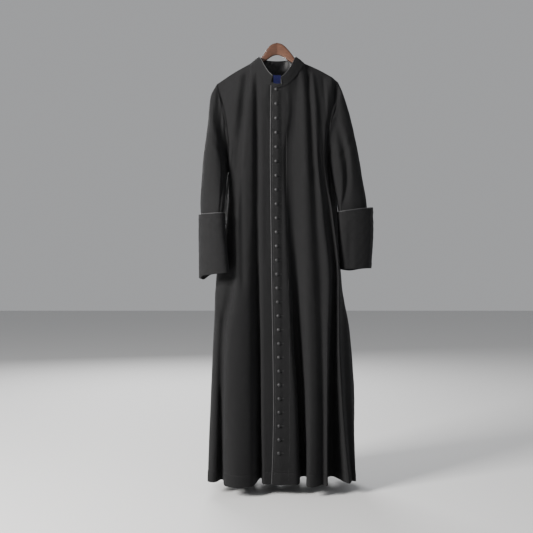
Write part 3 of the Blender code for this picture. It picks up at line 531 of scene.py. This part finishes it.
# ---------------------------------------------------------------- materials
class Nodes:
    """A short way to write a node material."""
    def __init__(self, name):
        self.material = bpy.data.materials.new(name)
        self.material.use_nodes = True
        self.tree = self.material.node_tree
        self.shader = self.tree.nodes["Principled BSDF"]
        self.where = self.add("ShaderNodeTexCoord").outputs["Object"]

    def add(self, kind, links=(), **values):
        node = self.tree.nodes.new(kind)
        for key, value in values.items():
            if key in node.inputs:
                node.inputs[key].default_value = value
            else:
                setattr(node, key, value)
        for key, source in dict(links).items():
            self.tree.links.new(source, node.inputs[key])
        return node

    def scaled(self, scale, turn=(0, 0, 0)):
        node = self.add("ShaderNodeMapping", {"Vector": self.where})
        node.inputs["Scale"].default_value = scale
        node.inputs["Rotation"].default_value = turn
        return node.outputs["Vector"]

    def noise(self, scale, detail=2.0, stretch=(1, 1, 1), rough=0.5):
        node = self.add("ShaderNodeTexNoise", {"Vector": self.scaled(stretch)},
                        Scale=scale, Detail=detail, Roughness=rough)
        return node.outputs["Fac"]

    def wave(self, scale, turn, distortion=0.0):
        node = self.add("ShaderNodeTexWave", {"Vector": self.scaled((1, 1, 1), turn)},
                        Scale=scale, Distortion=distortion)
        return node.outputs["Fac"]

    def blend(self, low, high, by):
        node = self.add("ShaderNodeMix", data_type="RGBA")
        node.inputs["A"].default_value = (*low, 1)
        node.inputs["B"].default_value = (*high, 1)
        node.inputs[6].default_value = (*low, 1)
        node.inputs[7].default_value = (*high, 1)
        self.tree.links.new(by, node.inputs[0])
        return node.outputs[2]

    def sum(self, a, b, share):
        scaled = self.add("ShaderNodeMath", {0: b}, operation="MULTIPLY")
        scaled.inputs[1].default_value = share
        return self.add("ShaderNodeMath", {0: a, 1: scaled.outputs[0]}, operation="ADD").outputs[0]

    def ramp(self, value, low, high):
        node = self.add("ShaderNodeMapRange", {"Value": value})
        node.inputs["To Min"].default_value = low
        node.inputs["To Max"].default_value = high
        return node.outputs["Result"]

    def bump(self, height, strength, distance):
        node = self.add("ShaderNodeBump", {"Height": height}, Strength=strength, Distance=distance)
        self.tree.links.new(node.outputs["Normal"], self.shader.inputs["Normal"])

    def set(self, **values):
        for key, value in values.items():
            socket = self.shader.inputs[key.replace("_", " ")]
            if hasattr(value, "is_linked"):
                self.tree.links.new(value, socket)
            else:
                socket.default_value = value


def wool(name, dark, light, twill_turn=0.9):
    """Black wool twill: fine diagonal ribs, a broken nap and a soft sheen."""
    m = Nodes(name)
    ribs = m.wave(420, (0, twill_turn, 0), 1.2)
    nap = m.noise(260, 3, (1, 1, 1), 0.6)
    slub = m.noise(55, 2, (1.6, 1.6, 0.5))
    cloud = m.noise(9, 2)
    m.set(Base_Color=m.blend(dark, light, m.sum(m.sum(nap, slub, 0.6), cloud, 0.5)),
          Roughness=m.ramp(slub, 0.62, 0.85), Sheen_Weight=0.05, Sheen_Roughness=0.4,
          Sheen_Tint=(0.75, 0.75, 0.78, 1), Specular_IOR_Level=0.14)
    m.bump(m.sum(m.sum(ribs, nap, 0.9), slub, 0.8), 0.55, 0.0006)
    return m.material


def satin(name, dark, light, rough):
    m = Nodes(name)
    thread = m.noise(500, 2, (1, 1, 0.15))
    cloud = m.noise(30, 2)
    m.set(Base_Color=m.blend(dark, light, cloud), Roughness=m.ramp(thread, rough - 0.06, rough + 0.08),
          Specular_IOR_Level=0.42, Sheen_Weight=0.05)
    m.bump(thread, 0.2, 0.0002)
    return m.material


def label_cloth():
    m = Nodes("label_blue_woven")
    weave = m.wave(700, (0, 0.0, 0))
    thread = m.noise(420, 2, (0.3, 1, 1))
    m.set(Base_Color=m.blend((0.08, 0.08, 0.42), (0.19, 0.20, 0.82), thread), Roughness=0.6,
          Sheen_Weight=0.2)
    m.bump(m.sum(weave, thread, 0.6), 0.4, 0.0003)
    return m.material


WOOD_DARK = ((0.018, 0.0075, 0.0036), (0.080, 0.030, 0.0145))
WOOD_LIGHT = ((0.034, 0.0145, 0.0075), (0.125, 0.054, 0.031))


def wood():
    """Stained wood: grain that runs along the arms, darker on the wearer's right half."""
    m = Nodes("wood_brown_grain")
    grain = m.noise(16, 5, (1.2, 6, 9), 0.6)
    pores = m.noise(90, 3, (0.35, 4, 6), 0.7)
    across = m.add("ShaderNodeSeparateXYZ", {"Vector": m.where}).outputs["X"]
    half = m.add("ShaderNodeMath", {0: across}, operation="GREATER_THAN")
    half.inputs[1].default_value = 0.001
    streaks = m.sum(grain, pores, 0.25)
    tone = m.add("ShaderNodeMix", {0: half.outputs[0], 6: m.blend(*WOOD_DARK, streaks),
                                   7: m.blend(*WOOD_LIGHT, streaks)}, data_type="RGBA")
    m.set(Base_Color=tone.outputs[2],
          Roughness=m.ramp(pores, 0.32, 0.5), Coat_Weight=0.35, Coat_Roughness=0.2)
    m.bump(pores, 0.25, 0.0004)
    return m.material


def plain(name, colour, rough):
    m = Nodes(name)
    fine = m.noise(300, 2)
    m.set(Base_Color=m.blend(tuple(c * 0.8 for c in colour), tuple(c * 1.25 for c in colour), fine),
          Roughness=rough)
    return m.material


# ---------------------------------------------------------------- the body
# Creases by piece and face (-1 front, 1 back). One row per crease: its ends in x and z,
# half width and height, all in millimetres.
CREASES = {
    ("front_right", -1): (
        (-132, -120, -161, -458, 15, 6), (-109, -120, -131, -472, 11, -5),
        (-129, -458, -120, -894, 13, -6), (-159, -395, -166, -870, 14, 3),
        (-91, -120, -91, -747, 10, 3.5), (-72, -120, -66, -588, 8, -2.5),
        (-175, -318, -171, -557, 6, 2.5), (-40, -290, -38, -782, 8, -1),
        (-222, -894, -198, -1081, 12, 3), (-198, -1241, -196, -1568, 5, -4.5),
    ),
    ("front_left", -1): (
        (90, -120, 103, -493, 12, 4.5), (103, -458, 122, -929, 15, 3.5), (124, -127, 175, -627, 9, 4),
        (110, -127, 143, -627, 9, -3), (193, -134, 214, -543, 10, 4), (165, -134, 189, -571, 7, -2.5),
        (1, -120, 3, -922, 6, 1.2), (-14, -120, -10, -922, 4, -1), (15, -120, 20, -1520, 5, -1.2),
    ),
    ("back_right", 1): (
        (-190, -210, -120, -420, 10, 1.8), (-178, -380, -110, -600, 9, -1.6),
    ),
    ("back_left", 1): (
        (200, -220, 128, -430, 11, 1.7), (182, -400, 108, -640, 9, -1.7),
    ),
    ("sleeve_right", -1): (
        (-246, -230, -196, -330, 9, -1.6), (-254, -360, -200, -440, 8, 1.5),
        (-196, -350, -190, -560, 5, 1.6), (-268, -520, -206, -560, 8, -1.5),
        (-270, -596, -200, -588, 6, 1.3),
    ),
    ("sleeve_left", -1): (
        (196, -505, 208, -552, 4, 1.4), (203, -498, 216, -560, 4, -1.2),
        (268, -300, 306, -545, 6, -2.2), (262, -180, 286, -330, 7, -1.6),
        (322, -570, 240, -596, 7, 1.3),
    ),
    ("sleeve_right", 1): (
        (-250, -300, -200, -400, 10, 1.8),
    ),
    ("sleeve_left", 1): (
        (280, -330, 220, -430, 10, 1.8),
    ),
}
COLUMN_STEP = 8.0
HEM_STITCH = 40.0


def finish_cloth(name, grid, closed=False, seed=1, calm=1.0):
    """Small unevenness and the listed creases on a smooth grid."""
    normals = grid_normals(grid, closed)
    lift = crease_height(grid, normals, name)
    lift += calm * (0.55 * waves(grid, 120, seed) + 0.30 * waves(grid, 45, seed + 50))
    return grid + normals * lift[..., None]


def seam_edges(grid, first=True, last=True, top=True):
    """Roll the cut edges in, so that each seam shows as a fine channel."""
    normals = grid_normals(grid)
    for on, border, inside in ((first, 0, 1), (last, -1, -2)):
        if on:
            way = grid[inside] - grid[border]
            grid[border] += SEAM * unit(way) - 0.5 * normals[border]
            close = grid[border] + unit(way) * 2.4 + 0.5 * normals[border]
            grid = np.concatenate((grid[:1], close[None], grid[1:]) if border == 0
                                  else (grid[:-1], close[None], grid[-1:]))
            normals = grid_normals(grid)
    if top:
        reach = np.where(np.abs(grid[:, 0, 0]) < 97, -3.0, SEAM)[:, None]
        grid[:, 0] += reach * unit(grid[:, 1] - grid[:, 0])
    return grid


def push_behind_sleeves(lines):
    """Fill the sides out just under the arms, where the cloth stands behind each sleeve."""
    x, y, z = lines[..., 0], lines[..., 1], lines[..., 2]
    share = np.clip((y - 12) / 24, 0, 1) * np.clip((np.abs(x) - 150) / 16, 0, 1)
    share *= np.exp(-((z + 520) / 62) ** 2)
    lines = lines.copy()
    lines[..., 0] += np.sign(x) * 6.0 * share
    return lines


def build_body(mats):
    lines, spans = body_lines()
    lines = push_behind_sleeves(lines)
    ease = np.clip(np.arange(lines.shape[1]) / 9.0, 0, 1)[:, None]
    dense, index = spline_through(lines, COLUMN_STEP, ease=ease)
    made = {}
    for seed, (name, (a, b)) in enumerate(spans.items()):
        grid = dense[index[a]:index[b] + 1].copy()
        grid = finish_cloth(name, grid, seed=10 + seed)
        grid = hem_and_placket(name, grid)
        grid = seam_edges(grid, first=name != "front_right", last=name != "front_left")
        cloth_piece(name + "_cloth", grid, CLOTH, mats["wool"], name)
        made[name] = grid
    return made


def hem_and_placket(name, grid):
    """The hem's stitch line, and the puckered button stand of the upper front."""
    normals = grid_normals(grid)
    up = grid[..., 2] - grid[:, -1:, 2]
    lift = -0.8 * np.exp(-((up - HEM_STITCH) / 2.2) ** 2)
    lift += 0.5 * np.clip((HEM_STITCH - up) / 12, 0, 1)
    if name == "front_left":
        z = grid[..., 2]
        inset = np.linalg.norm(grid - grid[-1:], axis=-1)
        band = np.exp(-((inset - 26) / 16) ** 2)
        beat = np.sin(z * 2 * math.pi / 50.0 + 0.6)
        lift += band * (0.6 * beat + 0.35 * np.sin(z * 2 * math.pi / 23.0 + 0.05 * inset))
        stand = np.clip((46 - inset) / 10, 0, 1)
        lift += stand * (0.32 * waves(grid * np.array((0.7, 1, 1.6)), 17, 77) + 0.2 * waves(grid, 9, 78))
        lift += 0.8 * np.exp(-((inset - 4) / 5) ** 2)
    return grid + normals * lift[..., None]


# ---------------------------------------------------------------- sleeves and cuffs
def arc_depth(s):
    return (1 - abs(2 * s - 1) ** 2.4) ** (1 / 2.4)


def sleeve_ring(row):
    """One ring: nine points over the front from the outer edge to the inner, seven behind."""
    xo, zo, xi, zi, yo, yi, front, behind, ridge, groove, dent = row
    shares = [0, 0.25 * ridge, 0.65 * ridge, ridge, (ridge + groove) / 2, groove,
              groove + 0.45 * (1 - groove), groove + 0.85 * (1 - groove), 1]
    outer, inner = np.array((xo, yo, zo)), np.array((xi, yi, zi))
    points = []
    for k, s in enumerate(shares):
        deep = front * arc_depth(s) - (dent if k == 5 else 0)
        points.append(outer + (inner - outer) * s + np.array((0, -deep, 0)))
    for s in (0.96, 0.84, 0.68, 0.5, 0.32, 0.16, 0.04):
        points.append(outer + (inner - outer) * s + np.array((0, behind * arc_depth(s), 0)))
    return points


def armhole_ring(side):
    """The sleeve's first ring, just off the armhole."""
    out = -1 if side == "right" else 1
    points = []
    for share in (0, .125, .25, .375, .5, .625, .75, .875, 1, -.875, -.75, -.625, -.5, -.375,
                  -.25, -.125):
        off = 0.2 + 1.2 * abs(share) ** 2
        points.append(armhole_point(side, share) + np.array((out * off, 0, -0.35 * off)))
    return points


def ring_inset(row, inset):
    xo, zo, xi, zi, yo, yi, front, behind, ridge, groove, dent = row
    out = 1 if xo > 0 else -1
    return (xo - out * inset, zo, xi + out * inset, zi, yo, yi, front - inset, behind - inset,
            ridge, groove, dent)


def smooth_tube(rings, side, round_step, down_step):
    """A dense closed grid from control rings, outward for either side."""
    grid = np.array(rings)
    grid, _ = spline_through(grid, down_step)
    grid, _ = spline_through(grid.transpose(1, 0, 2), round_step, closed=True)
    return grid[::-1] if side == "left" else grid


def build_sleeve(side, rows, cuff_rows, mats):
    hidden = [ring_inset(row, SLEEVE_INSET) for row in cuff_rows[1:]]
    last = hidden[-1]
    hidden[-1] = (last[0], last[1] + 2, last[2], last[3] + 2) + last[4:]
    rings = [armhole_ring(side)] + [sleeve_ring(row) for row in tuple(rows) + tuple(hidden)]
    grid = smooth_tube(rings, side, 6.0, 6.0)
    grid = finish_cloth("sleeve_" + side, grid, closed=True, seed=31 if side == "right" else 47)
    cloth_piece("sleeve_%s_cloth" % side, grid, CLOTH, mats["wool"], "sleeve_" + side, True)
    cuff = smooth_tube([sleeve_ring(row) for row in cuff_rows], side, 5.0, 4.0)
    cuff = finish_cloth("cuff_" + side, cuff, closed=True, seed=61, calm=0.9)
    normals = grid_normals(cuff, True)
    down = cuff[:, :1, 2] - cuff[..., 2]
    cuff = cuff + normals * (0.55 * waves(cuff, 30, 9) + 0.3 * waves(cuff, 17, 19))[..., None]
    droop, at, reach = (15, -262, 16) if side == "right" else (9, 262, 34)
    behind = np.clip((cuff[..., 1] - cuff[:, :, 1].mean(0)) / 12, 0, 1)
    cuff[..., 2] -= droop * behind * np.exp(-((cuff[..., 0] - at) / reach) ** 2) * (down / 215) ** 6
    pucker = np.exp(-(down / 16) ** 2) * waves(cuff * np.array((1, 1, 0.4)), 13, 5)
    stitch = np.exp(-((down - 16) / 2.0) ** 2)
    cuff = cuff + normals * (0.7 * pucker - 0.7 * stitch)[..., None]
    cloth_piece("cuff_%s_cloth" % side, cuff, CUFF_WALL, mats["wool_cuff"], "cuff_" + side,
                True)
    rim = cuff[:, 0] + np.array((0, 0, PIPING_RADIUS + 0.3))
    piping("cuff_piping_" + side, tube_parts(rim, PIPING_RADIUS * 0.95, True, 8, (0, 0, 1)), mats)


# ---------------------------------------------------------------- the neck
def collar_angles():
    """Angles round the collar with the share of the height that stands there."""
    low = [(a, NOTCH_HEIGHT) for a in np.linspace(COLLAR_SPLIT, NOTCH_END, 9)]
    full = [NOTCH_END + 0.7, NOTCH_END + 3.0] + list(np.arange(16.0, 335.0, 3.0)) \
        + [360 + COLLAR_SPLIT - k for k in (6.0, 3.0, 0.5)]
    return low + [(a, 1.0) for a in full]


def collar_grid(low, high, rows):
    lines = []
    for angle, share in collar_angles():
        base, top = ring_point(NECK, angle), ring_point(COLLAR_TOP, angle)
        reach = top - base
        foot = base + reach / np.linalg.norm(reach)
        span = base + share * reach - foot
        lines.append([foot + span * t for t in np.linspace(high, low, rows)])
    return np.array(lines)[::-1]


def build_collar(mats):
    grid = collar_grid(-0.06, 1.0, 14)
    normals = grid_normals(grid)
    t = np.linspace(1, -0.06, 14)[None, :]
    belly = 1.2 * np.sin(np.clip(t, 0, 1) * math.pi) + 0.35 * waves(grid, 40, 71)
    belly += 0.8 * np.clip(1 - t / 0.25, 0, 1)
    grid = grid + normals * belly[..., None]
    cloth_piece("collar_cloth", grid, COLLAR_WALL, mats["wool"], "collar")
    inside = collar_grid(-0.06, 0.93, 18)
    inside[0] += 0.8 * unit(inside[1] - inside[0])
    inside[-1] += 0.8 * unit(inside[-2] - inside[-1])
    inside, _ = spline_through(inside, 1.3)
    normals = grid_normals(inside)
    angle = np.linspace(0, 1, len(inside))[:, None]
    lean = inside[..., 2] / 9.0
    ruck = np.sin(angle * 170 + lean + 2.2 * np.sin(angle * 31)) * (0.6 + 0.4 * np.sin(angle * 23))
    ruck += 0.5 * np.sin(angle * 125 - 1.4 * lean + 1.5 * np.sin(angle * 47))
    depth = -(COLLAR_WALL / 2 + 1.6 + LINING_WALL / 2)
    inside = inside + normals * (depth + 0.75 * ruck)[..., None]
    cloth_piece("collar_lining_satin", inside, LINING_WALL, mats["satin"], "collar_lining")
    for side, angles in (("right", np.linspace(COLLAR_SPLIT - 0.5, -75, 40)),
                         ("left", np.linspace(NOTCH_END + 0.7, 75, 40))):
        path = []
        for angle in angles:
            base, top = ring_point(NECK, angle), ring_point(COLLAR_TOP, angle)
            path.append(top + (PIPING_RADIUS + 0.3) * (top - base) / np.linalg.norm(top - base))
        piping("collar_piping_" + side, tube_parts(path, PIPING_RADIUS), mats)


def build_neck_lining(mats):
    """Wrinkled satin facing inside the back of the neck, and the plain woven label on it."""
    lines, spans = body_lines()
    centre = spans["back_right"][1]
    run = lines[centre - 4:centre + 5]
    low = np.array([[np.interp(-(line[0, 2] - 79), -line[:, 2], line[:, k]) for k in range(3)]
                    for line in run])
    top = run[:, 0]
    grid = np.stack([top + (low - top) * t for t in np.linspace(0.03, 1.0, 30)], 1)
    grid, _ = spline_through(grid, 3.0)
    normals = grid_normals(grid)
    x = grid[..., 0]
    z = grid[..., 2]
    ruck = np.sin(x / 3.1 + 1.4 * np.sin(x / 17) + 0.02 * z) * (0.6 + 0.4 * np.sin(x / 29 + 1))
    depth = -(CLOTH / 2 + 1.2 + LINING_WALL / 2)
    grid = grid + normals * (depth + 0.8 * ruck)[..., None]
    cloth_piece("neck_lining_satin", grid, LINING_WALL, mats["satin"], "neck_lining")
    width = np.linspace(LABEL_X + LABEL_WIDTH / 2, LABEL_X - LABEL_WIDTH / 2, 24)
    height = np.linspace(LABEL_TOP, LABEL_TOP - LABEL_HEIGHT, 30)
    mid = run[4]
    label = np.array([[(u, np.interp(-v, -mid[:, 2], mid[:, 1]) - 4.6
                        + 0.35 * math.sin(u / 5 + v / 19), v) for v in height] for u in width])
    label = label[::-1]
    cloth_piece("label_woven", label, LABEL_WALL, mats["label"], "label")


# ---------------------------------------------------------------- closure and stitching
def build_closure(front, mats):
    edge, inner = front[-1], front[-2]
    path = edge + unit(edge - inner) * (PIPING_RADIUS + 0.3)
    path[0] += 0.3 * unit(path[1] - path[0])
    piping("front_piping", tube_parts(path, PIPING_RADIUS * 0.95), mats)
    tree = skin_tree(front)
    middle = fold_line(FRONT_LEFT[1], "left")
    buttons, holes = [], []
    rng = np.random.RandomState(4)
    for k in range(BUTTONS):
        z = BUTTON_FIRST + BUTTON_PITCH * k + BUTTON_EASE * k * k
        x = float(np.interp(-z, -middle[:, 2], middle[:, 0]))
        base, out = on_front(tree, x, z)
        out = unit(out + rng.normal(size=3) * 0.05)
        buttons.append(covered_button(base + out * (CLOTH / 2 + 0.2), out))
        holes.append(buttonhole(tree, x, z))
    made = joined("covered_buttons", buttons, mats["button"])
    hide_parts(*["button_%02d" % (k + 1) for k in range(BUTTONS)])
    sewn = joined("buttonholes", holes, mats["thread"])


def covered_button(base, out, sides=24):
    turn = Vector(out).to_track_quat("Z", "Y").to_matrix()
    profile = [(4.6, 0.0), (5.5, 0.35), (5.95, 1.0), (5.95, 1.8)]
    profile += [(5.9 * math.cos(a), 1.8 + 3.3 * math.sin(a)) for a in np.linspace(0.2, 1.45, 8)]
    verts = [turn @ Vector(point) for point in turned(profile, sides)]
    verts.append(turn @ Vector((0, 0, 5.15)))
    faces = [tuple(reversed(range(sides)))] + ring_quads(len(profile), sides)
    last = (len(profile) - 1) * sides
    faces += [(last + k, last + (k + 1) % sides, len(verts) - 1) for k in range(sides)]
    return np.array([np.array(v) + base for v in verts]), faces


def buttonhole(tree, x, z, length=19.0, half=1.3):
    """A worked buttonhole: a flat oval of thread, from the button away from the front edge."""
    path = []
    for k in range(28):
        a = 2 * math.pi * k / 28
        px = x - 2.0 + length / 2 + (length / 2) * math.copysign(abs(math.cos(a)) ** 0.35, math.cos(a))
        pz = z + half * math.copysign(abs(math.sin(a)) ** 0.7, math.sin(a))
        hit = on_front(tree, px, pz)
        path.append(hit[0] + hit[1] * (CLOTH / 2 + 0.15))
    return tube_parts(path, 0.5, True, 5, (0.2, 1, 0.1))


def sew(body, mats):
    """Rows of stitches: round the hem, and down the edge of the button stand."""
    parts = []
    for grid in body.values():
        normals = grid_normals(grid)
        up = grid[..., 2] - grid[:, -1:, 2]
        row = int(np.argmin(np.abs(up[len(grid) // 2] - HEM_STITCH)))
        path = grid[:, row] + normals[:, row] * (CLOTH / 2 + 0.05)
        parts += stitches_along(path)
    front = body["front_left"]
    normals = grid_normals(front)
    inset = np.linalg.norm(front - front[-1:], axis=-1)
    for off in (5.0, 56.0):
        path = []
        for r in range(4, front.shape[1] - 2, 3):
            i = int(np.argmin(np.abs(inset[:, r] - off)))
            path.append(front[i, r] + normals[i, r] * (CLOTH / 2 + 0.05))
        parts += stitches_along(smooth_path(path))
    sewn = joined("stitches", parts, mats["thread"])


def smooth_path(path):
    path = np.array(path)
    for _ in range(6):
        path[1:-1] = (path[:-2] + 2 * path[1:-1] + path[2:]) / 4
    return path


def stitches_along(path, pitch=4.2, length=2.9, radius=0.34):
    """Small raised stitches along a run of points already on the cloth."""
    steps = np.linalg.norm(np.diff(path, axis=0), axis=1)
    reach = np.concatenate(([0], np.cumsum(steps)))
    parts = []
    for s in np.arange(pitch, reach[-1] - pitch, pitch):
        ends = np.array([[np.interp(t, reach, path[:, k]) for k in range(3)]
                         for t in (s - length / 2, s + length / 2)])
        parts.append(tube_parts(ends, radius, False, 3, (0.3, -1, 0.2)))
    return parts


# ---------------------------------------------------------------- the hanger
def build_hanger(mats):
    """The arched wooden hanger, with rounded edges, and a dark disc on its crown as painted shade for
    the hook's hole.
    """
    rows = np.array(HANGER, float)
    xs = np.concatenate([np.linspace(rows[i, 0], rows[i + 1, 0], 7)[:-1]
                         for i in range(len(rows) - 1)] + [rows[-1:, 0]])
    top = -pchip(rows[::-1, 0], -rows[::-1, 1], xs)
    low = -pchip(rows[::-1, 0], -rows[::-1, 2], xs)
    turn = np.arange(HANGER_SIDES) * 2 * math.pi / HANGER_SIDES
    c, s = np.cos(turn), np.sin(turn)
    rings = []
    for x, t, b in zip(xs, top, low):
        mid, half = (t + b) / 2, (t - b) / 2
        y = HANGER_HALF * np.sign(c) * np.abs(c) ** 0.55
        z = half * np.sign(s) * np.abs(s) ** 0.45
        y = np.where(z > half - 6, y * (1 - 0.55 * (z - half + 6) / 6), y)
        rings.append(np.stack((np.full(HANGER_SIDES, x), y, mid + z), 1))
    verts = np.concatenate(rings)
    faces = ring_quads(len(rings), HANGER_SIDES)
    faces += [tuple(reversed(range(HANGER_SIDES))), tuple(range(len(verts) - HANGER_SIDES, len(verts)))]
    hanger = mesh_object("hanger_wood", verts, faces, mats["wood"], 60)
    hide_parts("hanger")
    # A dark disc laid on the unbored crown, painted shade in place of the hook's hole.
    painted_hole_shade_obj = joined("hook_hole_shade_disc", [hook_hole_shade_disc()], mats["dark"])


def hook_hole_shade_disc(sides=20):
    """A flat dark disc on the crown: painted shade standing in for the blind hole where a hook screws
    in.
    """
    r = HOOK_HOLE_RADIUS
    rings = ((r + 0.9, 0.12), (r, 0.3), (r * 0.75, 0.05))
    faces = ring_quads(len(rings), sides) + [tuple(range(2 * sides, 3 * sides))]
    return np.array(turned(rings, sides)), faces


# ---------------------------------------------------------------- studio
CAMERA_AT = (-0.0378, -3.0, -0.8046)
FRAME_WIDTH = 1.9188       # what the camera takes in at the hanger's plane
SENSOR = 36.0
FLOOR_Z = -1.60


def build_studio():
    scene = bpy.context.scene
    camera = bpy.data.objects.new("camera", bpy.data.cameras.new("camera"))
    scene.collection.objects.link(camera)
    camera.location = CAMERA_AT
    camera.rotation_euler = (math.pi / 2, 0, 0)
    camera.data.sensor_width = SENSOR
    camera.data.lens = SENSOR * -CAMERA_AT[1] / FRAME_WIDTH
    camera.data.clip_end = 100
    scene.camera = camera

    world = bpy.data.worlds.new("studio")
    scene.world = world
    world.use_nodes = True
    world.node_tree.nodes["Background"].inputs["Color"].default_value = (0.92, 0.93, 0.95, 1)
    world.node_tree.nodes["Background"].inputs["Strength"].default_value = 0.42

    mesh = bpy.data.meshes.new("floor")
    r = 12.0
    mesh.from_pydata([(-r, -r, FLOOR_Z), (r, -r, FLOOR_Z), (r, r, FLOOR_Z), (-r, r, FLOOR_Z)], [],
                     [(0, 1, 2, 3)])
    floor = bpy.data.objects.new("floor", mesh)
    mesh.materials.append(plain("floor_pale", (0.6, 0.6, 0.6), 0.8))
    scene.collection.objects.link(floor)

    for name, place, size, power, colour in (
            ("key", (-2.75, -2.1, 0.45), 1.1, 390.0, (1, 0.98, 0.95)),
            ("fill", (2.6, -2.4, 0.4), 2.0, 10.0, (0.95, 0.97, 1)),
            ("rim", (-0.9, 3.2, 0.9), 1.8, 150.0, (1, 1, 1))):
        lamp = bpy.data.objects.new(name, bpy.data.lights.new(name, "AREA"))
        lamp.data.size, lamp.data.energy, lamp.data.color = size, power, colour
        lamp.location = place
        aim = Vector((0, 0, -0.75)) - Vector(place)
        lamp.rotation_euler = aim.to_track_quat("-Z", "Y").to_euler()
        scene.collection.objects.link(lamp)


WOOL_DARK, WOOL_LIGHT = (0.0015, 0.0015, 0.0017), (0.0080, 0.0080, 0.0085)


def main():
    mats = {
        "wool": wool("wool_black_twill", WOOL_DARK, WOOL_LIGHT),
        "wool_cuff": wool("wool_cuff_twill", WOOL_DARK, WOOL_LIGHT, 0.7),
        "button": satin("button_cloth", (0.005, 0.005, 0.006), (0.015, 0.015, 0.016), 0.56),
        "satin": satin("satin_lining", (0.003, 0.003, 0.004), (0.012, 0.012, 0.014), 0.5),
        "piping": satin("satin_piping", (0.030, 0.030, 0.032), (0.070, 0.070, 0.073), 0.5),
        "thread": plain("thread_black", (0.014, 0.014, 0.015), 0.6),
        # hook_hole_painted_shade is the flat colour of the painted shade in the hook's hole.
        "label": label_cloth(), "wood": wood(), "dark": plain("hook_hole_painted_shade", (0.01, 0.006, 0.004), 0.8),
    }
    build_studio()
    body = build_body(mats)
    build_sleeve("right", SLEEVE_RIGHT, CUFF_RIGHT, mats)
    build_sleeve("left", SLEEVE_LEFT, CUFF_LEFT, mats)
    build_collar(mats)
    build_neck_lining(mats)
    build_closure(body["front_left"], mats)
    build_hanger(mats)
    sew(body, mats)


main()
